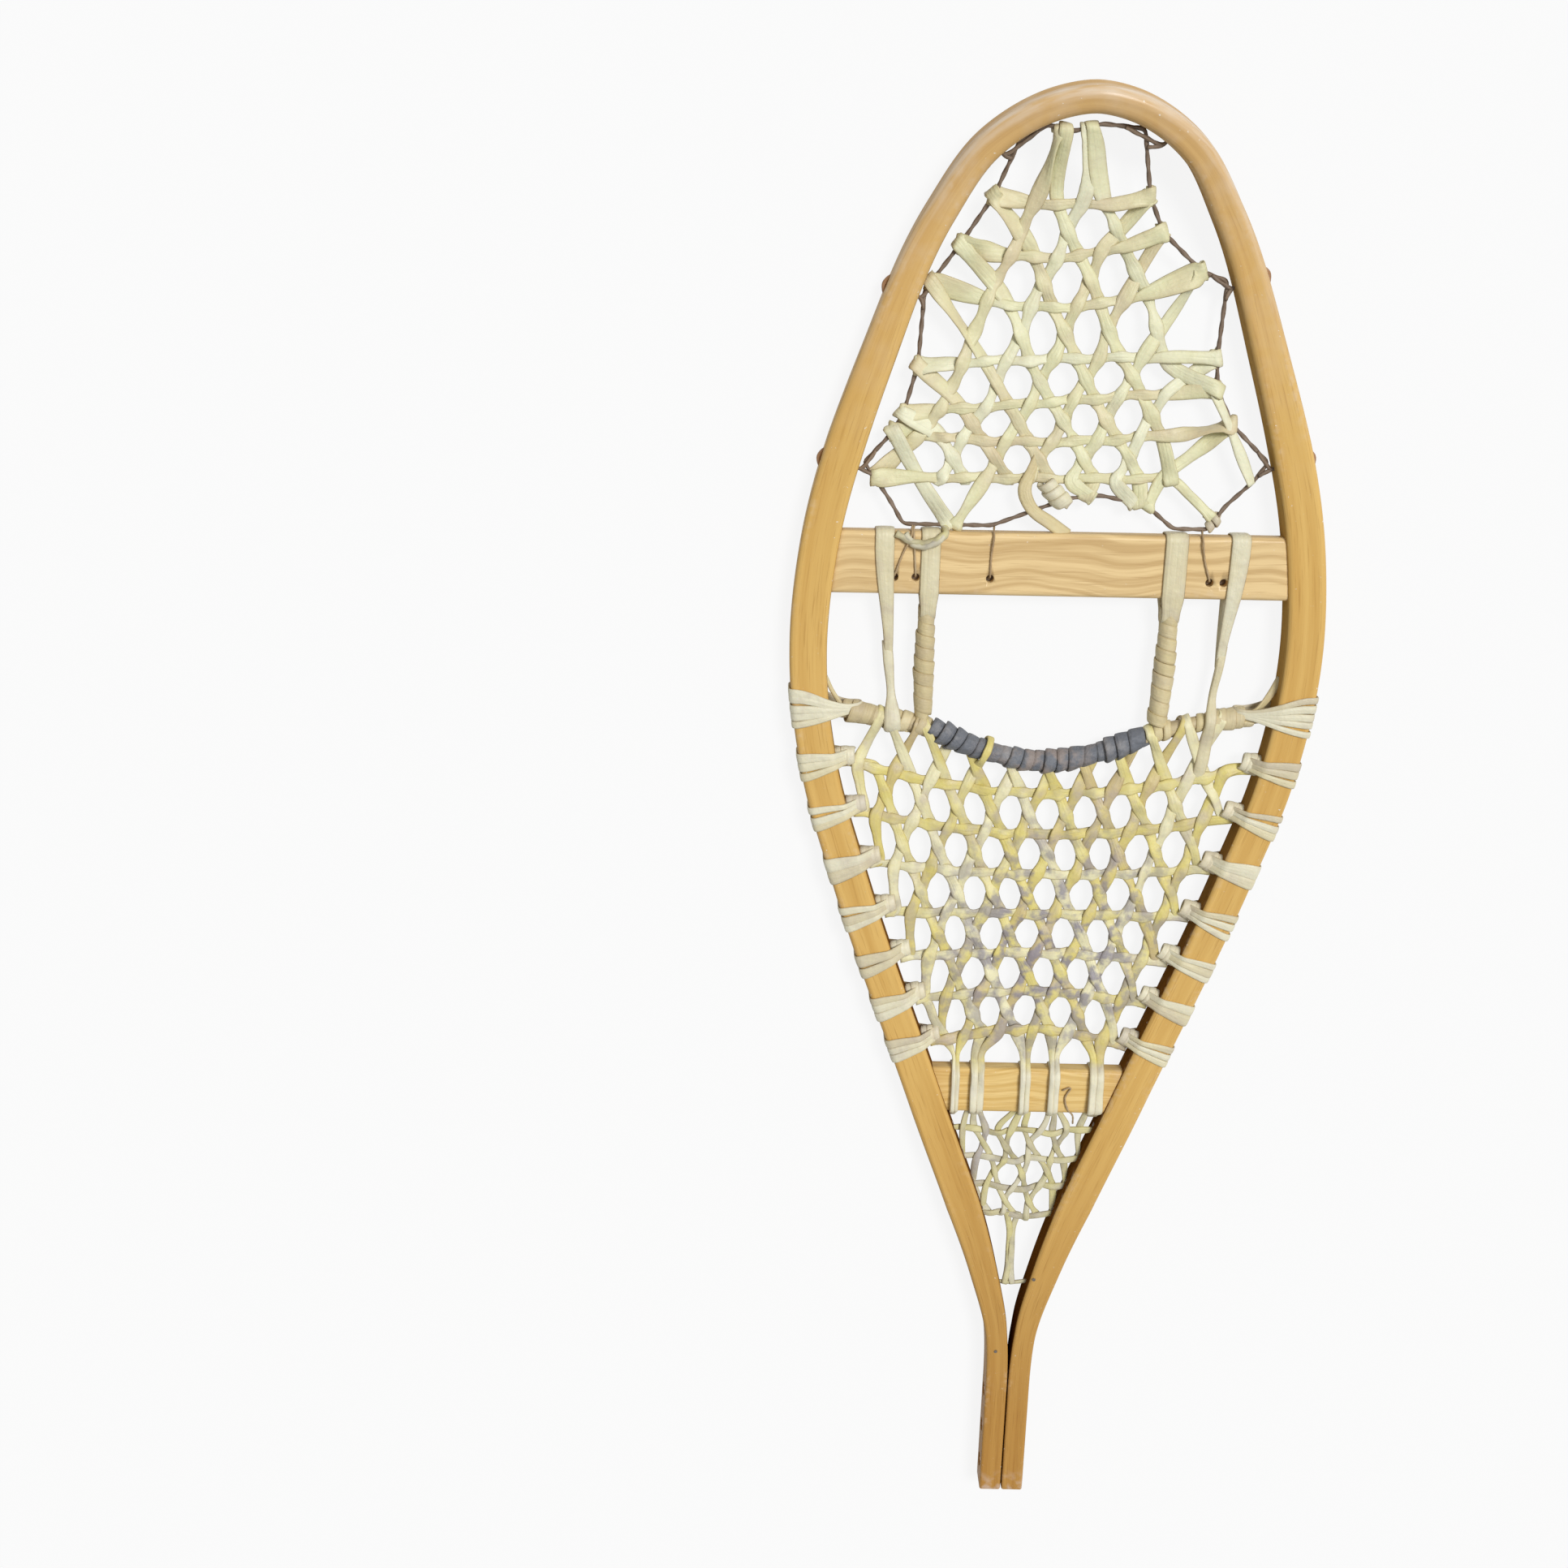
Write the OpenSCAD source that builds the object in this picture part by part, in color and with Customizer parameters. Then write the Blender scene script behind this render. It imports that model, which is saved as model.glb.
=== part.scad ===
// Wooden snowshoe: one bent ash strip, two mortised crossbars and rawhide lacing.
// Millimetres. X runs across the shoe, +Y points to the toe, +Z is up.
// The origin lies on the ground under the middle of the shoe.

/* [Overall] */
// Length from the tail end to the toe tip
overall_length = 882; // [860:2:910]
// Width across the widest part of the frame
overall_width = 305; // [295:1:320]

/* [Frame strip] */
// Width of the strip along the sides
side_strip_w = 21.5; // [19:0.5:23]
// Width of the strip at the toe tip
toe_strip_w = 14.5; // [13:0.5:17]
// Width of each strip in the tail
tail_strip_w = 14; // [12:0.5:16]
// Height of the strip
strip_h = 18; // [16:0.5:20]
// Radius of the strip's rounded edges
edge_round = 3; // [2:0.25:3.5]
// Height that the toe tip rises above the flat part
toe_rise = 24; // [10:1:34]
// Length of the upturned part of the toe
toe_bend = 120; // [100:2:140]
// Length of the tail where the two strips lie together
tail_length = 120; // [112:1:128]
// Slit between the two strips in the tail
seam_gap = 0.6; // [0.4:0.1:1.2]

/* [Crossbars] */
// Middle of the front crossbar
front_bar_y = 185; // [180:1:190]
// Width of the front crossbar
front_bar_w = 36; // [32:0.5:40]
// Middle of the rear crossbar
rear_bar_y = -145; // [-150:1:-141]
// Width of the rear crossbar
rear_bar_w = 30; // [26:0.5:34]
// Thickness of both crossbars
bar_h = 12; // [10:0.5:13]
// Radius of the crossbars' rounded edges
bar_round = 3; // [1.5:0.25:4]
// Length of each crossbar tenon
tenon_l = 9; // [6:0.5:11]
// Width of each crossbar tenon
tenon_w = 18; // [14:0.5:22]
// Thickness of each crossbar tenon
tenon_h = 7; // [5:0.5:8]
// Diameter of the lacing holes in the front crossbar
bar_hole_d = 5; // [4:0.25:6]

/* [Tail fasteners] */
// Number of rivets across the tail
rivet_count = 3; // [2:1:4]
// Diameter of a rivet shank
rivet_d = 4; // [3:0.25:5]
// Diameter of a rivet washer
washer_d = 8.5; // [8:0.5:12]
// Thickness of a rivet washer
washer_t = 1; // [0.8:0.1:1.5]
// Diameter of a domed rivet head
rivet_head_d = 6.5; // [6:0.25:9]
// Height of a domed rivet head
rivet_head_h = 1.6; // [1.2:0.1:2.5]
// Diameter of a brad
brad_d = 2.2; // [1.6:0.1:3]
// Length of a brad
brad_l = 12; // [8:0.5:14]

/* [Rawhide] */
// Thickness of a flat rawhide ribbon
ribbon_t = 1.3; // [1:0.1:1.6]
// Thickness of the woven nets
net_t = 3; // [2.4:0.1:4]
// Width of a strand in the body net
body_strand_w = 6.2; // [5.5:0.1:8]
// Width of a strand in the toe net
toe_strand_w = 7; // [6:0.1:8.5]
// Width of a strand in the heel net
heel_strand_w = 4.6; // [4:0.1:5.5]
// Spacing of the openings in the body net
body_pitch = 21.5; // [20:0.25:24]
// Spacing of the openings in the toe net
toe_pitch = 24.5; // [23:0.25:27]
// Spacing of the openings in the heel net
heel_pitch = 16; // [15:0.25:18]
// Thickness of the toe selvage cord
selvage_d = 3; // [2.5:0.1:3.5]
// Thickness of a selvage anchor outside the frame
anchor_bump_d = 3.4; // [3.1:0.1:4.5]
// Diameter of the heel net's holes in the frame
heel_hole_d = 3.2; // [2.6:0.1:4]
// Width along the frame of one turn of a frame wrap
wrap_turn_w = 6.6; // [5.5:0.1:7.4]
// Gap between neighbouring turns of a frame wrap
wrap_turn_gap = 0.8; // [0.6:0.1:1.2]
// Diameter of the hitch that ties a row to its wrap
hitch_d = 8; // [7:0.25:9]
// Height of the hitch that ties a row to its wrap
hitch_h = 9.6; // [8:0.2:12]

/* [Toe cord] */
// Diameter of the toe cord
toe_cord_d = 9.2; // [7:0.2:9.6]
// Turns of the winding on the toe cord
toe_cord_turns = 12; // [9:1:12]
// Diameter of the cord inside a side cord
side_cord_d = 6; // [5:0.2:7]
// Turns of the winding on each side cord
side_cord_turns = 9; // [7:1:9]
// Half the distance between the two side cords
side_cord_x = 69; // [66:0.5:72]
// Shift of the toe hole's cords to the right
toe_hole_shift = -5; // [-7:0.5:0]
// Thickness of a winding's ribbon
winding_t = 1.9; // [1.5:0.1:2.2]
// Width of the ribbon that holds a side cord to the crossbar
side_loop_w = 11; // [9:0.25:13]
// Width of the ribbon that holds an outer strand to the crossbar
outer_loop_w = 6; // [5:0.25:7]
// Diameter of an outer strand
outer_strand_d = 4.2; // [3.5:0.1:5]
// Distance of an outer strand from the middle at the crossbar
outer_strand_x = 100; // [96:0.5:104]

/* [Fit] */
// Clearance between neighbouring pieces
clearance = 0.3; // [0.2:0.05:0.4]

/* [Hidden] */
$fn = 32;

WOOD = [0.80, 0.63, 0.32];
BAR_WOOD = [0.85, 0.71, 0.46];
RAWHIDE = [0.86, 0.82, 0.66];
OLD_RAWHIDE = [0.80, 0.75, 0.50];
DARK_CORD = [0.33, 0.24, 0.17];
SLATE = [0.45, 0.47, 0.52];
COPPER = [0.62, 0.40, 0.26];
STEEL = [0.35, 0.33, 0.30];

// Levels
wrap_gap = clearance / 2;
frame_z = ribbon_t + wrap_gap;
mid_z = frame_z + strip_h / 2;
wrap_out = wrap_gap + ribbon_t;
half_length = overall_length / 2;

// Smooth curve through points: each point's tangent weighs its two chords by the other's length
function chord(p, i) = norm(p[i + 1] - p[i]);
function tangent(p, i) =
    i == 0 ? (p[1] - p[0]) / chord(p, 0) :
    i == len(p) - 1 ? (p[i] - p[i - 1]) / chord(p, i - 1) :
    let(a = chord(p, i - 1), b = chord(p, i))
    ((p[i] - p[i - 1]) * b / a + (p[i + 1] - p[i]) * a / b) / (a + b);
function hermite(p, i, t) =
    let(l = chord(p, i), s = t * t, c = t * t * t)
    p[i] * (2 * c - 3 * s + 1) + tangent(p, i) * l * (c - 2 * s + t)
    + p[i + 1] * (3 * s - 2 * c) + tangent(p, i + 1) * l * (c - s);
function curve(p, n) =
    concat([for (i = [0 : len(p) - 2]) for (k = [0 : n - 1]) hermite(p, i, k / n)], [p[len(p) - 1]]);
function reverse(v) = [for (i = [len(v) - 1 : -1 : 0]) v[i]];
function mirrored(v) = [for (p = reverse(v)) [-p.x, p.y]];
function unit(v) = v / norm(v);
function mix(a, b, t) = a + (b - a) * t;

// Toe upturn: an arc that leaves the ground plane where the bend starts
bend_r = (toe_bend * toe_bend + toe_rise * toe_rise) / (2 * toe_rise);
bend_y = half_length - toe_bend;
function bend_sine(y) = max(0, y - bend_y) / bend_r;
function bend_tilt(y) = asin(min(1, bend_sine(y)));
function rise(y) = bend_r * (1 - cos(bend_tilt(y)));

// Frame centre line, right half from tail to toe, as shares of the half width and half length
tip_tilt = bend_tilt(half_length);
tip_reach = (toe_strip_w / 2 - edge_round) * cos(tip_tilt) + (strip_h / 2 - edge_round) * sin(tip_tilt)
    + edge_round;
toe_y = half_length - tip_reach;
part_y = tail_length - half_length;
tail_x = (tail_strip_w + seam_gap) / 2;
wide_x = (overall_width - side_strip_w) / 2;
side_shares = [
    [0.138, -0.638], [0.44, -0.352], [0.81, -0.007], [0.935, 0.133], [1, 0.314], [0.965, 0.45],
    [0.755, 0.694], [0.54, 0.867], [0.376, 0.946], [0.112, 0.9945],
];
spread_l = 36;
straight_end = part_y - spread_l;
straight_step = 6;
part_ahead = 8;
part_out = 3;
right_line = concat(
    [[tail_x, -half_length], [tail_x, straight_end - straight_step], [tail_x, straight_end]],
    [[tail_x + part_out, part_y + part_ahead]],
    [for (s = side_shares) [s.x * wide_x, s.y * toe_y]]);
frame_line = curve(concat(right_line, [[0, toe_y]], mirrored(right_line)), 4);
half_count = (len(frame_line) - 1) / 2;
side_table = [for (i = [0 : half_count]) [frame_line[i].y, frame_line[i].x]];
heel_taper = 95;
toe_taper_share = 0.585;
toe_taper_y = toe_taper_share * toe_y;
width_table = [
    [part_y, tail_strip_w], [part_y + heel_taper, side_strip_w],
    [toe_taper_y, side_strip_w], [toe_y, toe_strip_w],
];
function strip_w(y) = lookup(y, width_table);
function mid_x(y) = lookup(y, side_table);
function side_angle(y) = atan((mid_x(y + 2) - mid_x(y - 2)) / 4);
function inner_x(y) = mid_x(y) - strip_w(y) / 2 / cos(side_angle(y));

// Place of a frame ring: [position, outward direction, up direction]
function line_side(p, i) =
    let(a = p[max(0, i - 1)], b = p[min(len(p) - 1, i + 1)], t = unit(b - a)) [t.y, -t.x];
function lifted(p) = [p.x, p.y, mid_z + rise(p.y)];
function bent_vector(v, y) = [v.x, v.y * cos(bend_tilt(y)), v.y * sin(bend_tilt(y))];
function up_vector(y) = [0, -sin(bend_tilt(y)), cos(bend_tilt(y))];

// Rounded rectangle, width by height, as a list of points
corner_steps = 3;
function rounded_box(w, h, r) = [
    for (q = [0 : 3]) for (k = [0 : corner_steps])
        let(a = 90 * q + 90 * k / corner_steps, sx = [1, -1, -1, 1][q], sy = [1, 1, -1, -1][q])
        [sx * (w / 2 - r) + r * cos(a), sy * (h / 2 - r) + r * sin(a)]];
function ring(profile, c, n, u) = [for (q = profile) c + n * q.x + u * q.y];
function frame_ring(p, n, grow) =
    ring(rounded_box(strip_w(p.y) + 2 * grow, strip_h + 2 * grow, edge_round + grow),
        lifted(p), bent_vector(n, p.y), up_vector(p.y));

// Closed solid from a list of rings with the same number of points
module skin(rings) {
    m = len(rings[0]);
    n = len(rings);
    sides = [for (i = [0 : n - 2]) for (k = [0 : m - 1])
        let(a = i * m + k, b = i * m + (k + 1) % m) each [[a, b, b + m], [a, b + m, a + m]]];
    fans = [for (k = [1 : m - 2]) each [[0, k + 1, k], [(n - 1) * m, (n - 1) * m + k, (n - 1) * m + k + 1]]];
    polyhedron(points = [for (r = rings) each r], faces = [for (f = concat(sides, fans)) reverse(f)]);
}

// Band round the frame: outer and inner skins of the same rings, joined at both ends
module band(outer, inner) {
    m = len(outer[0]);
    n = len(outer);
    o = n * m;
    walls = [for (i = [0 : n - 2]) for (k = [0 : m - 1])
        let(a = i * m + k, b = i * m + (k + 1) % m)
        each [[a, b, b + m], [a, b + m, a + m], [o + a, o + b + m, o + b], [o + a, o + a + m, o + b + m]]];
    ends = [for (k = [0 : m - 1])
        let(a = k, b = (k + 1) % m, c = (n - 1) * m)
        each [[a, o + b, b], [a, o + a, o + b], [c + a, c + b, c + o + b], [c + a, c + o + b, c + o + a]]];
    polyhedron(points = [for (r = concat(outer, inner)) each r],
        faces = [for (f = concat(walls, ends)) reverse(f)]);
}

// One turn of ribbon round the frame, centred at y on one side
module frame_turn(side, y, w) {
    a = side_angle(y);
    stations = [for (k = [-1, 1]) [mid_x(y), y] + k * w / 2 * [sin(a), cos(a)]];
    out = [cos(a), -sin(a)];
    grown = [for (g = [wrap_gap, wrap_gap + ribbon_t])
        [for (p = stations) [for (q = frame_ring([mid_x(y), y], out, g))
            q + [p.x - mid_x(y), p.y - y, 0]]]];
    mirror([side < 0 ? 1 : 0, 0, 0]) band(grown[1], grown[0]);
}

// Ribbon with its two sides, as a flat outline along points
function flat_side(p, d) = [for (i = [0 : len(p) - 1])
    let(a = unit(p[max(0, i - 1) + 1] - p[max(0, i - 1)]),
        b = unit(p[min(len(p) - 2, i) + 1] - p[min(len(p) - 2, i)]), t = unit(a + b))
    p[i] + [-t.y, t.x] * d / (t * a)];
module strand(p, w) {
    polygon(concat(flat_side(p, w / 2), reverse(flat_side(p, -w / 2))));
}

// Three-way net. Rows run across. Crossings on a row lie half a pitch apart and belong by turns
// to strands that lean one way and the other, so each strand shifts half a pitch from row to row.
// The hand-laid rows drift a little to the right from the toe to the tail.
row_drift = 1;
function row_shift(net, i) = net_shift(net) + row_drift * i;
function inside_row(net, i, x) =
    x > net_left(net)[i].x + net_pitch(net) / 6 && x < net_right(net)[i].x - net_pitch(net) / 6;
function crossings(lean, k, net) = [
    for (i = [0 : len(net_left(net)) - 1])
        let(x = row_shift(net, i) + (lean * i + 2 * k + (lean > 0 ? 0 : 1)) * net_pitch(net) / 2)
        if (inside_row(net, i, x)) [i, x]];
function net_left(net) = net[0];
function net_right(net) = net[1];
function net_sag(net) = net[2];
function net_pitch(net) = net[3];
function net_shift(net) = net[4];
function row_y(net, i, x) =
    let(l = net_left(net)[i], r = net_right(net)[i], t = (x - l.x) / (r.x - l.x))
    mix(l.y, r.y, t) - net_sag(net)[i] * 4 * t * (1 - t);
function nearer_eye(net, i, x) =
    let(l = net_left(net)[i], r = net_right(net)[i]) x < (l.x + r.x) / 2 ? l : r;
function strand_reach(net) = net_pitch(net) * 6 / 5;
function leaning_strand(lean, k, net) =
    let(c = crossings(lean, k, net), last = len(c) - 1, rows = len(net_left(net)), reach = strand_reach(net))
    last < 0 ? [] :
    let(x0 = c[0][1], x1 = c[last][1], half = lean * net_pitch(net) / 2,
        head = c[0][0] > 0 ? nearer_eye(net, c[0][0] - 1, x0 - half) :
            [x0 - half, row_y(net, 0, x0) + reach],
        foot = c[last][0] < rows - 1 ? nearer_eye(net, c[last][0] + 1, x1 + half) :
            [x1 + half, row_y(net, rows - 1, x1) - reach])
    concat([head], [for (q = c) [q[1], row_y(net, q[0], q[1])]], [foot]);
row_steps = 6;
module net_strands(net, w, span) {
    for (i = [0 : len(net_left(net)) - 1])
        strand([for (k = [0 : row_steps])
            let(x = mix(net_left(net)[i].x, net_right(net)[i].x, k / row_steps)) [x, row_y(net, i, x)]], w);
    for (lean = [-1, 1])
        for (k = [-span : span])
            if (len(crossings(lean, k, net)) > 0) strand(leaning_strand(lean, k, net), w);
}

// Crossbar edges, and toe net eyes from the toe back to the crossbar
front_edge = front_bar_y + front_bar_w / 2;
bar_back = front_bar_y - front_bar_w / 2;
rear_edge = rear_bar_y + rear_bar_w / 2;
toe_rows_up = [175.5, 148.5, 122.5, 95.5, 72.5, 50.5, 30];
toe_left_inset = [13.5, 10.5, 4, 13.5, 15, 13, 11];
toe_left_up = [4, 6, 12, -5, -8, 4, -1];
toe_right_inset = [28, 29, 15, 18, 22, 18, 12];
toe_right_up = [5, 14, 20, 2, 8, 11, 1];
function inset_point(side, y, inset) = [side * (inner_x(y) - inset), y];
toe_last = len(toe_rows_up) - 1;
function toe_eye(side, i, up, inset) = inset_point(side, front_edge + toe_rows_up[i] + up[i], inset[i]);
toe_left = [for (i = [0 : toe_last]) toe_eye(-1, i, toe_left_up, toe_left_inset)];
toe_right = [for (i = [0 : toe_last]) toe_eye(1, i, toe_right_up, toe_right_inset)];
toe_sag = [for (i = [0 : toe_last]) (toe_left_up[i] + toe_right_up[i]) / 2];
toe_net_shift = -14.5;
toe_net = [toe_left, toe_right, toe_sag, toe_pitch, toe_net_shift];

// Selvage cord: a closed loop through the eyes, held to the frame at the anchors
selvage_seat = selvage_d / 2 + clearance;
toe_inner_y = toe_y - toe_strip_w / 2 / cos(tip_tilt);
anchor_room = 0.6;
anchor_seat = selvage_seat + anchor_room;
left_anchor_back = 14;
left_anchors_up = [130, 37];
right_anchor_back = 7;
right_anchors_up = [138, 41];
anchors = concat(
    [[-1, toe_inner_y - left_anchor_back]], [for (u = left_anchors_up) [-1, front_edge + u]],
    [[1, toe_inner_y - right_anchor_back]], [for (u = right_anchors_up) [1, front_edge + u]]);
function anchor_point(n) = inset_point(anchors[n][0], anchors[n][1], anchor_seat);
bar_seat = front_edge + wrap_out + selvage_seat;
selvage_loop = concat(
    [anchor_point(0)], [for (i = [0 : 2]) toe_left[i]], [anchor_point(1)], [for (i = [3 : 5]) toe_left[i]],
    [anchor_point(2), toe_left[6], [-97, bar_seat + 12], [-90, bar_seat], [-40, bar_seat]],
    [[-14, bar_seat + 10], [2, bar_seat + 16], [20, bar_seat + 18], [46, bar_seat + 13], [62, bar_seat]],
    [[82, bar_seat], [90, bar_seat + 13], toe_right[6], anchor_point(5), toe_right[5]],
    [toe_right[4], toe_right[3], anchor_point(4), toe_right[2], toe_right[1], toe_right[0], anchor_point(3)],
    [[4, toe_inner_y - 5], [-10, toe_inner_y - 9], [-24, toe_inner_y - 6]]);
function loop_side(p, d) = let(n = len(p)) [for (i = [0 : n - 1])
    let(a = unit(p[i] - p[(i + n - 1) % n]), b = unit(p[(i + 1) % n] - p[i]), t = unit(a + b))
    p[i] + [-t.y, t.x] * d / max(0.5, t * a)];

// Upturned sheet of one thickness, for cutting flat outlines to the toe's bend
sheet_steps = 12;
module upturned_sheet(t, from_y) {
    ys = concat([from_y], [for (k = [0 : sheet_steps]) mix(bend_y, half_length, k / sheet_steps)]);
    edge = [for (s = [1, -1]) [for (y = ys)
        [y, mid_z + rise(y)] + s * t / 2 * [-sin(bend_tilt(y)), cos(bend_tilt(y))]]];
    rotate([90, 0, 90]) linear_extrude(overall_width, center = true)
        polygon(concat(edge[0], reverse(edge[1])));
}
module upturned(t) {
    intersection() {
        upturned_sheet(t, front_edge);
        linear_extrude(strip_h + 2 * toe_rise) children();
    }
}

// Body net rows: ends at the hitches, sagging in the middle
body_rows = 7;
hitch_top = 67;
hitch_step = 29.3;
row_top = 48;
row_step = 25.5;
hitch_inset = wrap_out + clearance + hitch_d / 2;
net_inset = hitch_inset + hitch_d / 2 + clearance;
function hitch_y(i) = hitch_top - hitch_step * i;
wrap_back = 3;
// Rows run a little past the edge of their net, which cuts them
row_overrun = 1.5;
body_left = [for (i = [0 : body_rows - 1]) inset_point(-1, hitch_y(i), net_inset - row_overrun)];
body_right = [for (i = [0 : body_rows - 1]) inset_point(1, hitch_y(i), net_inset - row_overrun)];
body_sag = [for (i = [0 : body_rows - 1]) hitch_y(i) - (row_top - row_step * i)];
body_net_shift = 7.3;
body_net = [body_left, body_right, body_sag, body_pitch, body_net_shift];

// Toe cord: hand-chosen points between the two frame lashings
lashing_y = 99;
lashing_turns = 3;
cord_end_x = inner_x(lashing_y) + wrap_out;
toe_cord_points = [
    [-cord_end_x, lashing_y], [-102, 94], [-73, 88], [-40, 75], [-4, 68],
    [30, 74], [63, 87], [98, 95], [cord_end_x, lashing_y],
];
toe_cord_line = curve(toe_cord_points, 5);
turn_step = wrap_turn_w + wrap_turn_gap;
fan_half = lashing_turns * turn_step / 2;
fan_l = 26;
cord_r = toe_cord_d / 2;
function fan_share(x) = pow(max(0, 1 - (cord_end_x - abs(x)) / fan_l), 1.5);
function cord_half(x) = mix(cord_r, fan_half, fan_share(x));
function cord_rise(x) = mix(cord_r, strip_h / 2 - edge_round / 2, fan_share(x));
toe_cord_table = [for (p = toe_cord_line) [p.x, p.y]];
function toe_cord_y(x) = lookup(x, toe_cord_table);
winding_r = cord_r + clearance + winding_t / 2;
winding_reach = winding_r + winding_t / 2;
wound_margin = 8;
wound_half = side_cord_x - wound_margin;
winding_cover = 0.84;
function side_x(side) = side * side_cord_x + toe_hole_shift;

// Side cords hang from the loops on the front crossbar to the toe cord, which slopes under them
slope_room = 1.15;
side_top = bar_back - wrap_out - clearance;
function cord_top(x) = toe_cord_y(x) + cord_r * slope_room + clearance;
function side_foot(side) = cord_top(side_x(side));
side_winding_r = side_cord_d / 2 + clearance + winding_t / 2;

// Ribbon wound round a centre line: rings of a flat six-sided section, one unbroken tube
rings_per_turn = 24;
ribbon_corners = [[1, 0], [0.5, 1], [-0.5, 1], [-1, 0], [-0.5, -1], [0.5, -1]];
function wound_point(c, out, r, a) = c + (out * cos(a) + [0, 0, 1] * sin(a)) * r;
function wound_rings(centres, outs, r, half_w, turns) =
    let(n = turns * rings_per_turn,
        mids = [for (i = [0 : n]) wound_point(centres[i], outs[i], r, 360 * i / rings_per_turn)])
    [for (i = [0 : n])
        let(t = unit(mids[min(n, i + 1)] - mids[max(0, i - 1)]),
            e = unit(mids[i] - centres[i]),
            w = unit(cross(t, e)))
        [for (q = ribbon_corners) mids[i] + w * q.x * half_w + e * q.y * winding_t / 2]];
function least_gap(rings) = min([
    for (i = [0 : len(rings) - 1 - rings_per_turn / 2])
        for (j = [i + rings_per_turn / 2 : min(len(rings) - 1, i + rings_per_turn * 3 / 2)])
            for (p = rings[i]) min([for (q = rings[j]) norm(p - q)])]);

// Wood

module bent_frame() {
    color(WOOD) difference() {
        skin([for (i = [0 : len(frame_line) - 1]) frame_ring(frame_line[i], line_side(frame_line, i), 0)]);
        for (side = [-1, 1]) {
            mortise(side, front_bar_y);
            mortise(side, rear_bar_y);
        }
        for (n = [0 : rivet_count - 1]) translate([0, rivet_y(n), mid_z]) rotate([0, 90, 0])
            cylinder(h = 4 * tail_strip_w, d = rivet_d + clearance, center = true);
        for (n = [0 : rivet_count - 1]) for (side = [-1, 1])
            translate([side * (washer_seat_x + tail_strip_w / 2), rivet_y(n), mid_z]) rotate([0, 90, 0])
                cylinder(h = tail_strip_w, d = washer_d + 2 * clearance, center = true);
        for (n = [0 : len(anchors) - 1]) anchor_place(n)
            cylinder(h = 4 * side_strip_w, d = anchor_hole_d, center = true);
        for (side = [-1, 1]) for (n = [0 : len(heel_eyes) - 1]) heel_anchor_place(side, n)
            cylinder(h = 4 * side_strip_w, d = heel_hole_d, center = true);
        for (p = brad_places) translate([p.x, p.y, frame_z + strip_h - brad_l - clearance])
            cylinder(h = brad_l + strip_h, d = brad_d + clearance);
    }
}
module mortise(side, y) {
    depth = tenon_l + clearance;
    translate([side * (inner_x(y) + depth / 2 - side_strip_w / 4), y, mid_z])
        cube([depth + side_strip_w / 2, tenon_w + clearance, tenon_h + clearance], center = true);
}

// A crossbar: a rounded bar between the frame's inner faces, with a tenon at each end
module crossbar(y, w) {
    ys = [y - w / 2, y + w / 2];
    difference() {
        union() {
            intersection() {
                translate([0, y, mid_z]) rotate([90, 0, 90])
                    linear_extrude(overall_width, center = true) polygon(rounded_box(w, bar_h, bar_round));
                linear_extrude(2 * strip_h) polygon([
                    [inner_x(ys[0]) - clearance, ys[0]], [inner_x(ys[1]) - clearance, ys[1]],
                    [clearance - inner_x(ys[1]), ys[1]], [clearance - inner_x(ys[0]), ys[0]]]);
            }
            translate([0, y, mid_z]) cube([2 * (inner_x(y) + tenon_l), tenon_w, tenon_h], center = true);
        }
        children();
    }
}
bar_hole_xs = [-94, -82, -40, 84, 92];
bar_hole_in = 10;
module front_crossbar() {
    color(BAR_WOOD) crossbar(front_bar_y, front_bar_w)
        for (x = bar_hole_xs) translate([x, bar_back + bar_hole_in, mid_z])
            cylinder(h = 2 * bar_h, d = bar_hole_d, center = true);
}
module rear_crossbar() {
    color(BAR_WOOD) crossbar(rear_bar_y, rear_bar_w);
}

// Tail fasteners: each rivet head and washer lies in a recess, just below the wood

rivet_end_in = 18;
rivet_front = straight_end - straight_step - washer_d / 2;
tail_half = tail_strip_w + seam_gap / 2;
rivet_recess = washer_t + rivet_head_h + 3 * clearance;
washer_seat_x = tail_half - rivet_recess;
head_steps = 4;
function rivet_y(n) = mix(-half_length + rivet_end_in, rivet_front, n / (rivet_count - 1));
function head_arc(k) = 90 * k / head_steps;
module tail_rivets() {
    shank = 2 * (washer_seat_x + clearance + washer_t + clearance);
    color(COPPER) for (n = [0 : rivet_count - 1]) translate([0, rivet_y(n), mid_z]) rotate([0, 90, 0])
        rotate_extrude() polygon(concat(
            [[0, -shank / 2 - rivet_head_h]],
            [for (k = [1 : head_steps])
                [rivet_head_d / 2 * sin(head_arc(k)), -shank / 2 - rivet_head_h * cos(head_arc(k))]],
            [[rivet_d / 2, -shank / 2], [rivet_d / 2, shank / 2]],
            [for (k = [head_steps : -1 : 1])
                [rivet_head_d / 2 * sin(head_arc(k)), shank / 2 + rivet_head_h * cos(head_arc(k))]],
            [[0, shank / 2 + rivet_head_h]]));
}
module rivet_washers() {
    color(COPPER) for (n = [0 : rivet_count - 1]) for (side = [-1, 1])
        translate([side * (washer_seat_x + clearance + washer_t / 2), rivet_y(n), mid_z]) rotate([0, 90, 0])
            difference() {
                cylinder(h = washer_t, d = washer_d, center = true);
                cylinder(h = 3 * washer_t, d = rivet_d + clearance, center = true);
            }
}
brad_offsets = [[-2, -11], [5, 43.5]];
brad_places = [
    [brad_offsets[0].x - tail_x, part_y + brad_offsets[0].y],
    [brad_offsets[1].x + tail_x, part_y + brad_offsets[1].y],
];
module tail_brads() {
    color(STEEL) for (p = brad_places) translate([p.x, p.y, frame_z + strip_h - brad_l])
        cylinder(h = brad_l + clearance, d = brad_d);
}

// Toe section

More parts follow.
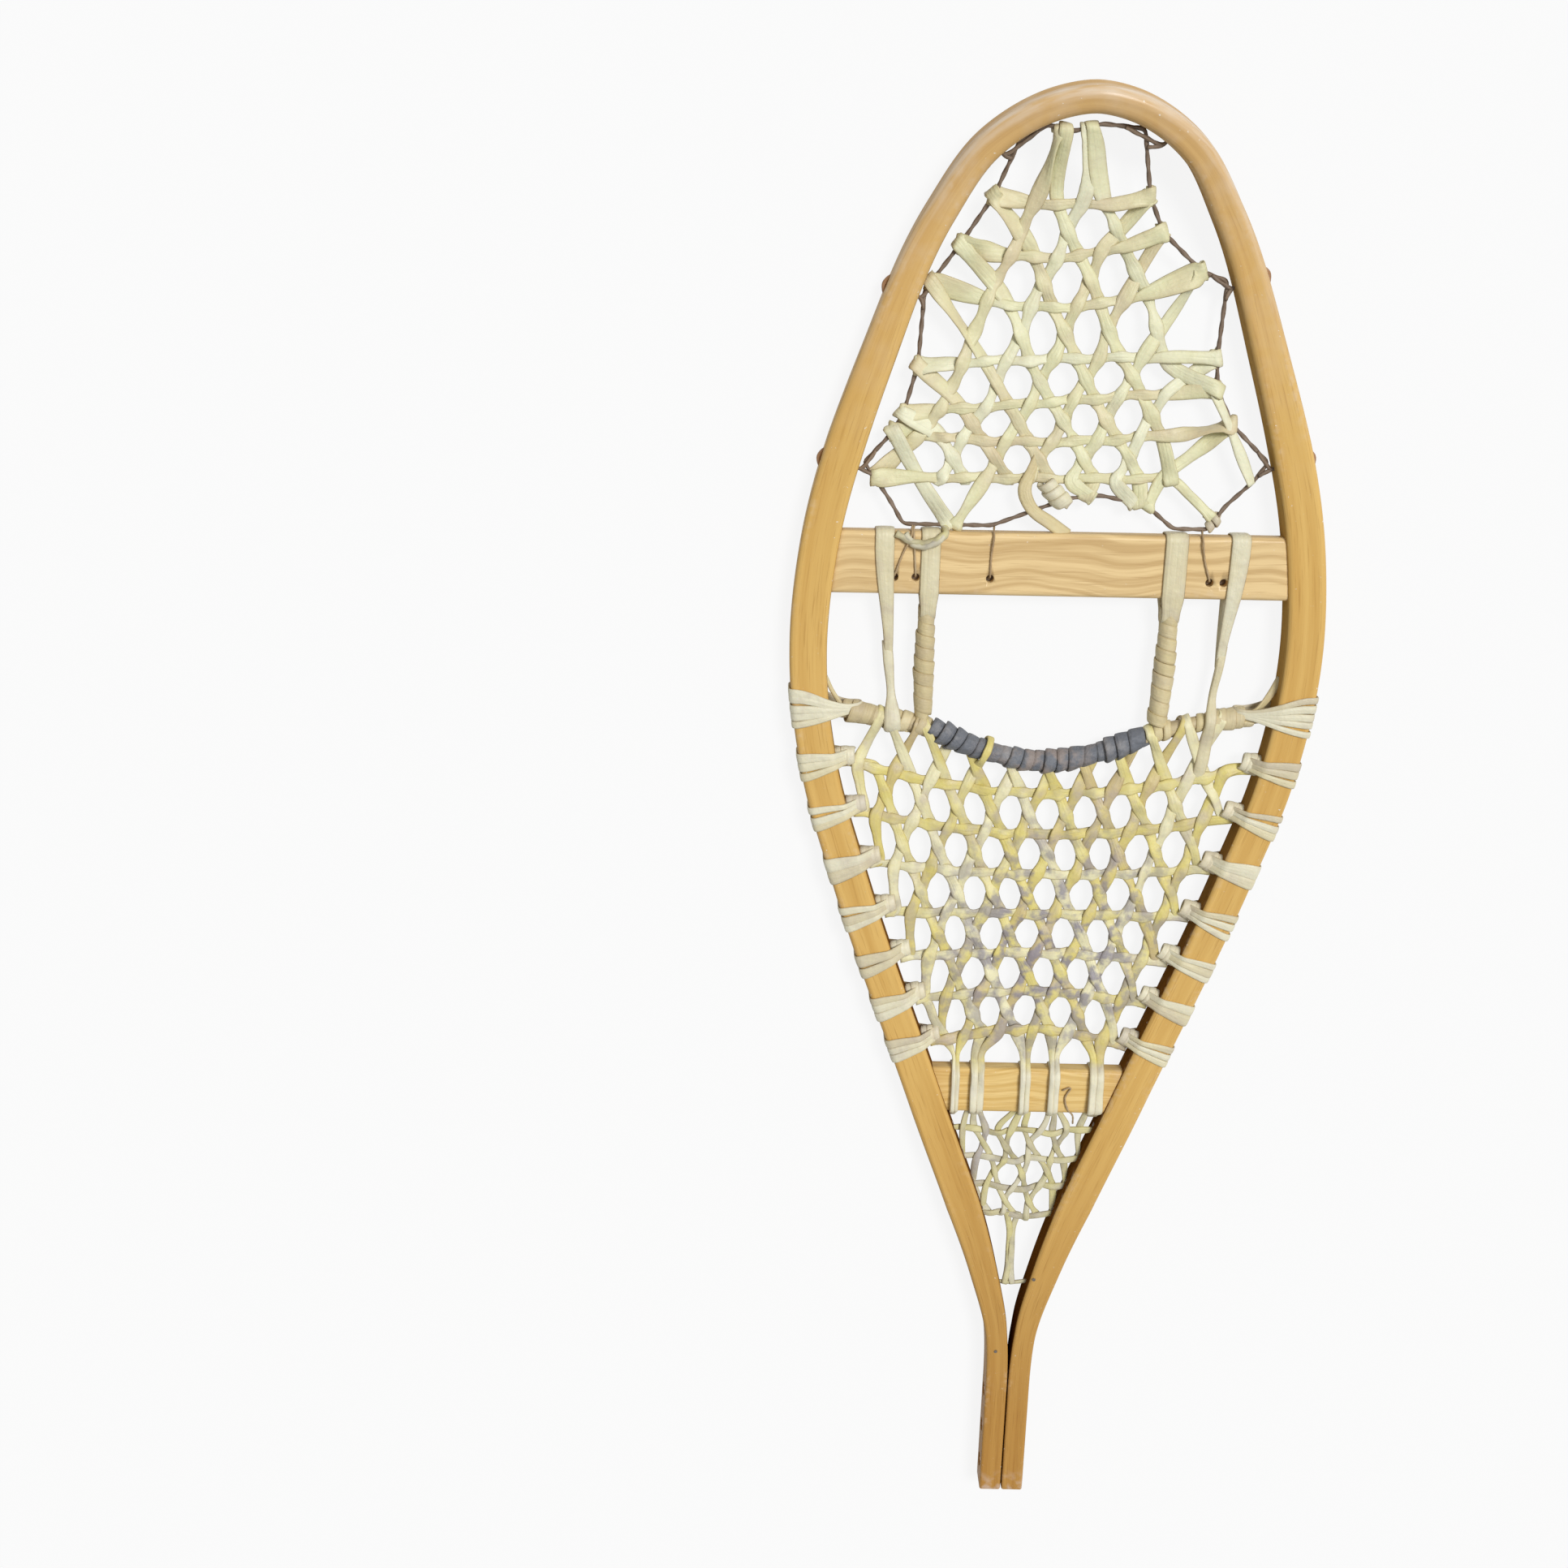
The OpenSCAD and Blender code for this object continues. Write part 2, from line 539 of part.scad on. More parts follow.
anchor_hole_d = selvage_d + 2 * clearance;
anchor_bump_l = 10;
module anchor_place(n) {
    side = anchors[n][0];
    y = anchors[n][1];
    translate([side * mid_x(y), y, mid_z + rise(y)]) rotate([0, 0, -side * side_angle(y)])
        rotate([0, side * 90, 0]) children();
}
module toe_selvage_cord() {
    color(DARK_CORD) upturned(selvage_d) difference() {
        polygon(loop_side(selvage_loop, -selvage_d / 2));
        polygon(loop_side(selvage_loop, selvage_d / 2));
    }
}
module selvage_anchors() {
    color(DARK_CORD) for (n = [0 : len(anchors) - 1]) anchor_place(n) {
        w = strip_w(anchors[n][1]);
        bump_z = w / 2 + anchor_bump_d / 2 + clearance;
        translate([0, 0, -w / 2]) cylinder(h = w / 2 + bump_z, d = selvage_d);
        translate([0, 0, bump_z]) rotate([90, 0, 0])
            cylinder(h = anchor_bump_l, d = anchor_bump_d, center = true);
    }
}
module toe_lacing() {
    color(RAWHIDE) upturned(net_t) intersection() {
        net_strands(toe_net, toe_strand_w, 10);
        polygon(loop_side(selvage_loop, selvage_seat));
    }
}
knot_at = [-8, 21];
knot_d = 13;
knot_h = 7;
knot_shares = [[0, 0], [0.35, 0], [0.5, 0.3], [0.5, 0.7], [0.35, 1], [0, 1]];
module knot(d, h) {
    rotate_extrude() polygon([for (q = knot_shares) [q.x * d, q.y * h]]);
}
module toe_lacing_knot() {
    color(RAWHIDE) translate([knot_at.x, front_edge + knot_at.y, mid_z + net_t / 2 + clearance / 2])
        knot(knot_d, knot_h);
}

// Body section

edge_steps = 12;
module body_lacing() {
    back = rear_edge + wrap_out + clearance;
    front = lashing_y - fan_half - clearance;
    corner_x = inner_x(front) - net_inset;
    right_edge = [for (k = [0 : edge_steps])
        let(y = mix(back, front, k / edge_steps)) [inner_x(y) - net_inset, y]];
    top_edge = [for (k = [0 : 2 * edge_steps]) let(x = corner_x * (1 - k / edge_steps))
        [x, toe_cord_y(x) - max(cord_half(x), winding_reach) - clearance]];
    color(OLD_RAWHIDE) translate([0, 0, mid_z - net_t / 2]) linear_extrude(net_t) intersection() {
        net_strands(body_net, body_strand_w, 12);
        polygon(concat(right_edge, top_edge, mirrored(right_edge)));
    }
}
module frame_wraps(side) {
    color(RAWHIDE) for (i = [0 : body_rows - 1]) for (k = [-0.5, 0.5])
        frame_turn(side, hitch_y(i) - wrap_back + k * turn_step, wrap_turn_w);
}
module left_frame_wraps() { frame_wraps(-1); }
module right_frame_wraps() { frame_wraps(1); }
module hitches(side) {
    color(RAWHIDE) for (i = [0 : body_rows - 1])
        translate(concat(inset_point(side, hitch_y(i), hitch_inset), [mid_z - hitch_h / 2]))
            knot(hitch_d, hitch_h);
}
module left_hitches() { hitches(-1); }
module right_hitches() { hitches(1); }

// Toe hole cords

cord_sides = 12;
module toe_cord() {
    rings = [for (i = [0 : len(toe_cord_line) - 1])
        let(p = toe_cord_line[i], n = line_side(toe_cord_line, i))
        [for (k = [0 : cord_sides - 1]) let(a = 360 * k / cord_sides)
            [p.x, p.y, mid_z] + concat(n, [0]) * cord_half(p.x) * cos(a) + [0, 0, cord_rise(p.x) * sin(a)]]];
    seat = wrap_out + clearance;
    ys = [lashing_y - 4 * fan_half, lashing_y, lashing_y + 4 * fan_half];
    edge = [for (y = ys) [inner_x(y) - seat, y]];
    color(OLD_RAWHIDE) intersection() {
        skin(rings);
        linear_extrude(2 * strip_h) polygon(concat(edge, mirrored(edge)));
    }
}
module toe_cord_wrap() {
    n = toe_cord_turns * rings_per_turn;
    xs = [for (i = [0 : n]) toe_hole_shift + mix(-wound_half, wound_half, i / n)];
    centres = [for (x = xs) [x, toe_cord_y(x), mid_z]];
    outs = [for (x = xs) let(t = unit([2, toe_cord_y(x + 1) - toe_cord_y(x - 1)])) [-t.y, t.x, 0]];
    half_w = wound_half / toe_cord_turns * winding_cover;
    rings = wound_rings(centres, outs, winding_r, half_w, toe_cord_turns);
    echo(toe_cord_wrap_least_gap = least_gap(rings));
    color(SLATE) skin([for (r = rings) reverse(r)]);
}
module lashing(side) {
    color(RAWHIDE) for (k = [0 : lashing_turns - 1])
        frame_turn(side, lashing_y + (k - (lashing_turns - 1) / 2) * turn_step, wrap_turn_w);
}
module left_toe_cord_lashing() { lashing(-1); }
module right_toe_cord_lashing() { lashing(1); }
module side_cord(side) {
    color(OLD_RAWHIDE) translate([side_x(side), side_foot(side), mid_z]) rotate([-90, 0, 0])
        cylinder(h = side_top - side_foot(side), d = side_cord_d);
}
module left_side_cord() { side_cord(-1); }
module right_side_cord() { side_cord(1); }
module side_wrap(side) {
    n = side_cord_turns * rings_per_turn;
    pitch = (side_top - side_foot(side)) / (side_cord_turns + 1);
    centres = [for (i = [0 : n]) [side_x(side), side_top - pitch * (0.5 + i / rings_per_turn), mid_z]];
    outs = [for (i = [0 : n]) [side, 0, 0]];
    rings = wound_rings(centres, outs, side_winding_r, pitch / 2 * winding_cover, side_cord_turns);
    echo(side_wrap_least_gap = least_gap(rings));
    color(OLD_RAWHIDE) skin(side > 0 ? [for (r = rings) reverse(r)] : rings);
}
module left_side_wrap() { side_wrap(-1); }
module right_side_wrap() { side_wrap(1); }
strand_lean = 8;
strand_foot_x = outer_strand_x - strand_lean;
module outer_strand(side) {
    foot = [strand_foot_x, max(cord_top(strand_foot_x), cord_top(-strand_foot_x))];
    head = [outer_strand_x, side_top];
    color(OLD_RAWHIDE) intersection() {
        translate([side * foot.x, foot.y - outer_strand_d, mid_z])
            rotate([-90, 0, -side * atan((head.x - foot.x) / (head.y - foot.y))])
                cylinder(h = 2 * (head.y - foot.y), d = outer_strand_d);
        translate([-overall_width / 2, foot.y, 0]) cube([overall_width, head.y - foot.y, 2 * strip_h]);
    }
}
module left_outer_strand() { outer_strand(-1); }
module right_outer_strand() { outer_strand(1); }

// Ribbons round a crossbar, each a closed loop of one width
module bar_loop(y, w, x, loop_w) {
    translate([x, y, mid_z]) rotate([90, 0, 90]) linear_extrude(loop_w, center = true) difference() {
        polygon(rounded_box(w + 2 * wrap_out, bar_h + 2 * wrap_out, bar_round + wrap_out));
        polygon(rounded_box(w + 2 * wrap_gap, bar_h + 2 * wrap_gap, bar_round + wrap_gap));
    }
}
module front_crossbar_loops() {
    color(RAWHIDE) for (side = [-1, 1]) {
        bar_loop(front_bar_y, front_bar_w, side_x(side), side_loop_w);
        bar_loop(front_bar_y, front_bar_w, side * outer_strand_x, outer_loop_w);
    }
}
// The two outer bands on the rear crossbar lie just inside the frame
rear_band_ws = [5, 8.5, 6.5, 6.5, 9];
band_limit = inner_x(rear_bar_y - rear_bar_w / 2 - wrap_out) - clearance;
rear_band_xs = [rear_band_ws[0] / 2 - band_limit, -31, -1.5, 16.5, band_limit - rear_band_ws[4] / 2];
module rear_crossbar_bands() {
    color(RAWHIDE) for (i = [0 : len(rear_band_xs) - 1])
        bar_loop(rear_bar_y, rear_bar_w, rear_band_xs[i], rear_band_ws[i]);
}

// Heel section

heel_edge = rear_bar_y - rear_bar_w / 2 - wrap_out - clearance;
heel_rows = 4;
heel_row_top = 12;
heel_row_step = 20;
heel_inset = clearance;
function heel_y(i) = heel_edge - heel_row_top - heel_row_step * i;
heel_left = [for (i = [0 : heel_rows - 1]) inset_point(-1, heel_y(i), heel_inset - row_overrun)];
heel_right = [for (i = [0 : heel_rows - 1]) inset_point(1, heel_y(i), heel_inset - row_overrun)];
heel_drop = 2;
heel_sag = [for (i = [0 : heel_rows - 1]) heel_drop];
heel_net_shift = 2.5;
heel_net = [heel_left, heel_right, heel_sag, heel_pitch, heel_net_shift];
heel_eyes = heel_right;
module heel_anchor_place(side, n) {
    y = heel_eyes[n].y;
    translate([side * mid_x(y), y, mid_z]) rotate([0, 0, -side * side_angle(y)])
        rotate([0, side * 90, 0]) children();
}
module heel_lacing() {
    foot = heel_y(heel_rows - 1) - heel_strand_w / 2;
    edge = [for (k = [0 : edge_steps])
        let(y = mix(foot, heel_edge, k / edge_steps)) [inner_x(y) - heel_inset, y]];
    color(RAWHIDE) translate([0, 0, mid_z - net_t / 2]) linear_extrude(net_t) intersection() {
        net_strands(heel_net, heel_strand_w, 6);
        polygon(concat(edge, mirrored(edge)));
    }
}
module heel_anchors() {
    color(DARK_CORD) for (side = [-1, 1]) for (n = [0 : heel_rows - 1]) heel_anchor_place(side, n) {
        w = strip_w(heel_eyes[n].y);
        translate([0, 0, -w / 2]) cylinder(h = w + clearance, d = heel_hole_d - 2 * clearance);
    }
}
tie_ahead = 36;
tie_w = heel_strand_w / 2;
tie_y = part_y + tie_ahead;
heel_strand_x = -3;
module heel_tail_strand() {
    head = heel_y(heel_rows - 1) - heel_drop - heel_strand_w / 2 - clearance;
    foot = tie_y + tie_w / 2 + clearance;
    color(RAWHIDE) translate([heel_strand_x - heel_strand_w / 2, foot, mid_z - net_t / 2])
        cube([heel_strand_w, head - foot, net_t]);
}
module heel_tie() {
    w = inner_x(tie_y) - clearance;
    color(OLD_RAWHIDE) translate([-w, tie_y - tie_w / 2, mid_z - net_t / 2])
        cube([2 * w, tie_w, net_t]);
}

bent_frame();
front_crossbar();
rear_crossbar();
tail_rivets();
rivet_washers();
tail_brads();
toe_selvage_cord();
selvage_anchors();
toe_lacing();
toe_lacing_knot();
body_lacing();
left_frame_wraps();
right_frame_wraps();
left_hitches();
right_hitches();
toe_cord();
toe_cord_wrap();
left_toe_cord_lashing();
right_toe_cord_lashing();
left_side_cord();
right_side_cord();
left_side_wrap();
right_side_wrap();
left_outer_strand();
right_outer_strand();
front_crossbar_loops();
rear_crossbar_bands();
heel_lacing();
heel_anchors();
heel_tail_strand();
heel_tie();
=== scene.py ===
# %% [markdown]
# # A laced wooden snowshoe
# A strip of ash is steamed and bent into a teardrop, two crossbars hold it open, and three nets of rawhide
# lace fill it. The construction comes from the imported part, in metres. This lesson dresses it: smooth wood,
# and laces that really pass over and under each other. All shapes are worked out in millimetres, as whole
# arrays, and are scaled only when a mesh is made.

import bpy
import numpy as np
from mathutils import Matrix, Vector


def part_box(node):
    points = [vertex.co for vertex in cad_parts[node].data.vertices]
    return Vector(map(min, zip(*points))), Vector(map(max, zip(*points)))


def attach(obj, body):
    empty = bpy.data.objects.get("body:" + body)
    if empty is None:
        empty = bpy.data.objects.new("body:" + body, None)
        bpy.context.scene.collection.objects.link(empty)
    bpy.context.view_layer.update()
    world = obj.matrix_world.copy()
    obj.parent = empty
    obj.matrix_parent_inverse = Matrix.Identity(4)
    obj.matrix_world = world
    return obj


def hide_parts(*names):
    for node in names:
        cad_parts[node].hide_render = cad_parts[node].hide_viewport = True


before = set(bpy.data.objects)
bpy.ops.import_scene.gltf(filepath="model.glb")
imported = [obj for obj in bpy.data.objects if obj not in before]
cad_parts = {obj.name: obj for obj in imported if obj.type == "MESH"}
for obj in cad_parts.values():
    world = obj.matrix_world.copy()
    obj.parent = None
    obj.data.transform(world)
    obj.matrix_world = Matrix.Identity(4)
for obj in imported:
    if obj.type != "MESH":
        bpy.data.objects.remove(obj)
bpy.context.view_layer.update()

MM = 0.001
rng = np.random.default_rng(11)
scene = bpy.context.scene


def node_box(name):
    """Lowest and highest corner of a node of the part, in millimetres."""
    return [np.array(corner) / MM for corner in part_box(name)]


strip_low, strip_high = node_box("bent_frame")
front_low, front_high = node_box("front_crossbar")
rear_low, rear_high = node_box("rear_crossbar")
HALF_LENGTH = strip_high[1]
WIDTH = strip_high[0] - strip_low[0]
STRIP_H = 18.0
MID_Z = strip_low[2] + STRIP_H / 2
BAR_H = front_high[2] - front_low[2]
FRONT_EDGE, FRONT_BACK = front_high[1], front_low[1]
REAR_EDGE, REAR_BACK = rear_high[1], rear_low[1]
SIDES = ((-1, "left"), (1, "right"))
print("length", round(2 * HALF_LENGTH, 1), "width", round(WIDTH, 1), "middle height", round(MID_Z, 2))

# %% [markdown]
# ## Camera
# The photograph looks down on the shoe from above its left side, tilted 18 degrees towards the tail. The
# camera is written from that tilt and a small roll, so its three axes follow from two angles.

# %% Camera
CAMERA_AT = np.array([-154.1, 376.3, 1012.1])
CAMERA_TILT, CAMERA_ROLL = np.radians([18.0, -1.09])
FOCAL_PIXELS, IMAGE_PIXELS, SENSOR = 2200.0, 1932.0, 36.0


def new_object(name, data):
    """A new object in the scene, at the origin."""
    made = bpy.data.objects.new(name, data)
    scene.collection.objects.link(made)
    return made


def turned(right, above, behind):
    """Rotation whose columns are an object's own x, y and z directions."""
    return Matrix(np.array([right, above, behind]).T.tolist()).to_4x4()


cos_tilt, sin_tilt = np.cos(CAMERA_TILT), np.sin(CAMERA_TILT)
cos_roll, sin_roll = np.cos(CAMERA_ROLL), np.sin(CAMERA_ROLL)
camera_right = [cos_roll, -sin_roll * cos_tilt, sin_roll * sin_tilt]
camera_above = [sin_roll, cos_roll * cos_tilt, -cos_roll * sin_tilt]
camera_behind = [0.0, sin_tilt, cos_tilt]
camera = new_object("camera", bpy.data.cameras.new("camera"))
camera_turn = turned(camera_right, camera_above, camera_behind)
camera.matrix_world = Matrix.Translation((CAMERA_AT * MM).tolist()) @ camera_turn
camera.data.sensor_width = SENSOR
camera.data.lens = SENSOR * FOCAL_PIXELS / IMAGE_PIXELS
scene.camera = camera
print("lens", round(camera.data.lens, 2), "mm")

# %% [markdown]
# ## Curves and swept surfaces
# Wood strips, laces and cords are all a profile carried along a path. One function draws a smooth curve
# through a few points, one spaces it evenly, and one carries a profile along it. A bevelled curve object
# could do this too, but with arrays each ring can have a width and a lean of its own.


# %% Curve helpers
def unit(vectors):
    """Vectors divided by their own length."""
    return vectors / np.linalg.norm(vectors, axis=-1, keepdims=True)


def smooth(points, steps):
    """Hermite curve through points. A point's tangent weighs its two chords by the other one's length."""
    p = np.asarray(points, float)
    step = np.diff(p, axis=0)
    chord = np.linalg.norm(step, axis=1)[:, None]
    way = step / chord
    inner = (way[:-1] * chord[1:] + way[1:] * chord[:-1]) / (chord[:-1] + chord[1:])
    tangent = np.vstack([way[:1], inner, way[-1:]])
    t = (np.arange(steps) / steps)[None, :, None]
    reach = chord[:, None]
    spans = (p[:-1, None] * (2 * t**3 - 3 * t**2 + 1) + tangent[:-1, None] * reach * (t**3 - 2 * t**2 + t)
             + p[1:, None] * (3 * t**2 - 2 * t**3) + tangent[1:, None] * reach * (t**3 - t**2))
    return np.vstack([spans.reshape(-1, p.shape[1]), p[-1:]])


def distance_along(path):
    """Length of the path from its start to each of its points."""
    return np.concatenate([[0.0], np.cumsum(np.linalg.norm(np.diff(path, axis=0), axis=1))])


def even(line, step, places=3):
    """The same line with its points about one step apart; the first columns are its place."""
    far = distance_along(line[:, :places])
    at = np.linspace(0, far[-1], max(2, int(round(far[-1] / step))) + 1)
    return np.stack([np.interp(at, far, column) for column in line.T], 1)


def sweep(path, normal, section, closed=False):
    """Profile carried along a path: each ring is the section set square to the path, facing the normal."""
    if closed:
        tangent = unit(np.roll(path, -1, 0) - np.roll(path, 1, 0))
    else:
        tangent = unit(np.gradient(path, axis=0))
    across = unit(np.cross(tangent, normal))
    lift = np.cross(across, tangent)
    return path[:, None] + across[:, None] * section[..., :1] + lift[:, None] * section[..., 1:]


# %% Profiles
RIBBON_SIDES, RIBBON_POWER, PLIES = 12, 0.75, 2


def round_angles(sides):
    """Angles of that many points, spaced evenly round a circle."""
    return np.arange(sides) * 2 * np.pi / sides


def ribbon(width, thick):
    """Flat ribbon with rounded edges: a superellipse of each ring's width and of one thickness."""
    a = round_angles(RIBBON_SIDES)
    x = np.sign(np.cos(a)) * np.abs(np.cos(a)) ** RIBBON_POWER
    y = np.sign(np.sin(a)) * np.abs(np.sin(a)) ** RIBBON_POWER
    return np.stack(np.broadcast_arrays(x * width[:, None] / 2, y * thick / 2), -1)


def twisted(radius, far, lay, depth=0.12, sides=12):
    """Twisted cord: a circle that swells at each ply, and the swell turns once in every lay."""
    a = round_angles(sides)
    r = radius * (1 + depth * np.cos(PLIES * a[None] - 2 * np.pi * far[:, None] / lay))
    return np.stack([r * np.cos(a), r * np.sin(a)], -1)


print("a ribbon has", RIBBON_SIDES, "sides and a cord", PLIES, "plies")

# %% [markdown]
# ## From arrays to pieces
# A grid of rings becomes a mesh of quads with a cap at each end. The UV map runs along the piece in metres,
# so wood grain and rawhide fibres can follow it. Each strand also carries its own tint as an attribute.

# %% Mesh maker
QUAD, RIM_POWER = 4, 6


def grid_part(grid, closed):
    """Corner indices, cap indices and UV values of one grid of rings."""
    rings, sides = grid.shape[:2]
    middle = grid.mean(axis=1)
    far = distance_along(np.vstack([middle, middle[:1]]) if closed else middle)
    around = np.linalg.norm(np.diff(np.concatenate([grid, grid[:, :1]], 1), axis=1), axis=2).mean(0)
    round_far = np.concatenate([[0.0], np.cumsum(around)])
    ring = np.arange(rings if closed else rings - 1)[:, None] * sides
    after = (ring + sides) % (rings * sides)
    side = np.arange(sides)[None]
    beside = (side + 1) % sides
    quads = np.stack([ring + side, after + side, after + beside, ring + beside], -1).reshape(-1, QUAD)
    u = np.stack([far[:-1], far[1:], far[1:], far[:-1]], -1)[:, None]
    v = np.stack([round_far[:-1], round_far[:-1], round_far[1:], round_far[1:]], -1)[None]
    uv = np.stack(np.broadcast_arrays(u, v), -1).reshape(-1, 2) * MM
    caps = [] if closed else [np.arange(sides), (rings - 1) * sides + np.arange(sides)[::-1]]
    return quads, caps, uv


def make_piece(name, grids, finish, replaces=(), closed=False, values=None):
    """One object from grids of rings in millimetres, riding on the shoe's only body."""
    corners, sizes, uvs, tints, rims = [], [], [], [], []
    first = 0
    for grid in grids:
        quads, caps, uv = grid_part(grid, closed)
        count = grid.shape[0] * grid.shape[1]
        corners += [face + first for face in (quads.reshape(-1), *caps)]
        sizes += [np.full(len(quads), QUAD)] + [[len(cap)] for cap in caps]
        uvs += [uv] + [np.zeros((len(cap), 2)) for cap in caps]
        tints.append(np.full(count, rng.random()))
        # rim: 1 along a ribbon's narrow edges, where the rawhide gets painted shade
        rims.append(np.tile(np.abs(np.cos(round_angles(grid.shape[1]))) ** RIM_POWER, len(grid)))
        first += count
    corners, sizes, uvs = [np.concatenate(part) for part in (corners, sizes, uvs)]
    mesh = bpy.data.meshes.new(name)
    mesh.vertices.add(first)
    mesh.vertices.foreach_set("co", np.concatenate([grid.reshape(-1, 3) for grid in grids]).ravel() * MM)
    mesh.loops.add(len(corners))
    mesh.loops.foreach_set("vertex_index", corners.astype(np.int32))
    mesh.polygons.add(len(sizes))
    mesh.polygons.foreach_set("loop_start", (np.cumsum(sizes) - sizes).astype(np.int32))
    mesh.update(calc_edges=True)
    mesh.polygons.foreach_set("use_smooth", sizes == QUAD)
    mesh.uv_layers.new(name="along").data.foreach_set("uv", uvs.ravel())
    values = {"tint": np.concatenate(tints), "rim": np.concatenate(rims), **(values or {})}
    for key, value in values.items():
        mesh.attributes.new(key, "FLOAT", "POINT").data.foreach_set("value", np.ravel(value))
    mesh.validate()
    mesh.materials.append(finish)
    piece = new_object(name, mesh)
    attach(piece, "root")
    if replaces:
        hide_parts(*replaces)
    print(name, len(mesh.polygons), "faces")
    return piece


# %% [markdown]
# ## Shared shading effects
# Three effects serve several finishes: fibres that run along a piece, soft blotches, and wear on raised
# edges. Each is a node group that puts out one value, and each finish places it with numbers of its own.


# %% Node helpers
def add(tree, kind, inputs=None, **settings):
    """A new node with its settings; an input is a value or another node's output."""
    made = tree.nodes.new(kind)
    for key, value in settings.items():
        setattr(made, key, value)
    for key, value in (inputs or {}).items():
        if isinstance(value, bpy.types.NodeSocket):
            tree.links.new(value, made.inputs[key])
        else:
            made.inputs[key].default_value = value
    return made


def math_node(tree, operation, a, b, clamp=False):
    """Output of a math node on two values."""
    return add(tree, "ShaderNodeMath", {0: a, 1: b}, operation=operation, use_clamp=clamp).outputs[0]


def times(tree, a, b):
    """Product of two values."""
    return math_node(tree, "MULTIPLY", a, b)


def vector_node(tree, operation, *vectors):
    """Outputs of a vector math node."""
    return add(tree, "ShaderNodeVectorMath", dict(enumerate(vectors)), operation=operation).outputs


def mixed(tree, factor, a, b, blend="MIX"):
    """Output of a colour mix; a colour is three linear values or another node's output."""
    a, b = [(*tone, 1.0) if isinstance(tone, tuple) else tone for tone in (a, b)]
    return add(tree, "ShaderNodeMix", {0: factor, 6: a, 7: b}, data_type="RGBA", blend_type=blend).outputs[2]


def ranged(tree, value, low, high, to_low=0.0, to_high=1.0):
    """Output of a clamped map range."""
    return add(tree, "ShaderNodeMapRange", {0: value, 1: low, 2: high, 3: to_low, 4: to_high}).outputs[0]


def noise(tree, place, scale, detail):
    """Outputs of a noise texture."""
    return add(tree, "ShaderNodeTexNoise", {"Vector": place, "Scale": scale, "Detail": detail}).outputs


def attribute(tree, name):
    """Value that a mesh carries at its points under that name."""
    return add(tree, "ShaderNodeAttribute", attribute_name=name).outputs["Fac"]


def coordinates(tree):
    """The two places that patterns read: along the piece, and in the object."""
    outputs = add(tree, "ShaderNodeTexCoord").outputs
    return outputs["UV"], outputs["Object"]


def axis_of(tree, place, index):
    """One coordinate of a place: 0 across the shoe, 1 along it."""
    return add(tree, "ShaderNodeSeparateXYZ", {0: place}).outputs[index]


# %% Effect groups
FLOAT, VECTOR = "NodeSocketFloat", "NodeSocketVector"
SEED_STEP = (53.0, 37.0, 19.0)
PATCH_COARSER = 14.0


def new_group(name, inputs, output):
    """An empty node group with float and vector inputs and one float output."""
    group = bpy.data.node_groups.new(name, "ShaderNodeTree")
    for key, kind in inputs.items():
        group.interface.new_socket(key, in_out="INPUT", socket_type=kind)
    group.interface.new_socket(output, in_out="OUTPUT", socket_type=FLOAT)
    return group, add(group, "NodeGroupInput").outputs, add(group, "NodeGroupOutput").inputs[0]


fibres, given, result = new_group(
    "fibres along a piece", {"UV": VECTOR, "Along": FLOAT, "Across": FLOAT, "Seed": FLOAT}, "Fibre")
scale = add(fibres, "ShaderNodeCombineXYZ", {0: given["Along"], 1: given["Across"], 2: 1.0}).outputs[0]
stretched = vector_node(fibres, "MULTIPLY", given["UV"], scale)[0]
seeds = add(fibres, "ShaderNodeCombineXYZ", {0: given["Seed"], 1: given["Seed"], 2: given["Seed"]}).outputs[0]
moved = vector_node(fibres, "MULTIPLY_ADD", seeds, SEED_STEP, stretched)[0]
fibres.links.new(noise(fibres, moved, scale=1.0, detail=4.0)[0], result)

blotches, given, result = new_group(
    "soft blotches", {"Vector": VECTOR, "Scale": FLOAT, "Low": FLOAT, "High": FLOAT}, "Mask")
soft = noise(blotches, given["Vector"], given["Scale"], detail=3.0)[0]
blotches.links.new(ranged(blotches, soft, given["Low"], given["High"]), result)

worn_edges, given, result = new_group(
    "worn edges", {"Edge": FLOAT, "Vector": VECTOR, "Scale": FLOAT, "Amount": FLOAT}, "Mask")
fine = noise(worn_edges, given["Vector"], given["Scale"], detail=5.0)[0]
coarse_scale = math_node(worn_edges, "DIVIDE", given["Scale"], PATCH_COARSER)
coarse = noise(worn_edges, given["Vector"], coarse_scale, detail=2.0)[0]
patch = times(worn_edges, ranged(worn_edges, fine, 0.46, 0.66), ranged(worn_edges, coarse, 0.50, 0.66))
wear = times(worn_edges, times(worn_edges, patch, given["Edge"]), given["Amount"])
worn_edges.links.new(wear, result)


def place_group(tree, group, **inputs):
    """Output of a placed node group."""
    return add(tree, "ShaderNodeGroup", inputs, node_tree=group).outputs[0]


def fibre_lines(tree, uv, along, across, seed):
    """Fibre effect with its frequency along and across the piece, per metre."""
    return place_group(tree, fibres, UV=uv, Along=along, Across=across, Seed=seed)


def blotch(tree, place, scale, low, high):
    """Blotch effect: the mask rises from 0 to 1 while the noise goes from low to high."""
    return place_group(tree, blotches, Vector=place, Scale=scale, Low=low, High=high)


print("groups", [group.name for group in bpy.data.node_groups])

# %% [markdown]
# ## Finishes
# Colours are written as linear values read from the photograph. The wood is varnished ash: honey
# coloured, darker and redder towards the tail, with fine dark pores along the grain. Rawhide dries pale and
# slightly green, with fibres along the lace. Under the foot it is yellowed and stained grey.


# %% Finish helpers
def new_finish(name):
    """A material with its tree and its shader."""
    material = bpy.data.materials.new(name)
    material.use_nodes = True
    return material, material.node_tree, material.node_tree.nodes["Principled BSDF"]


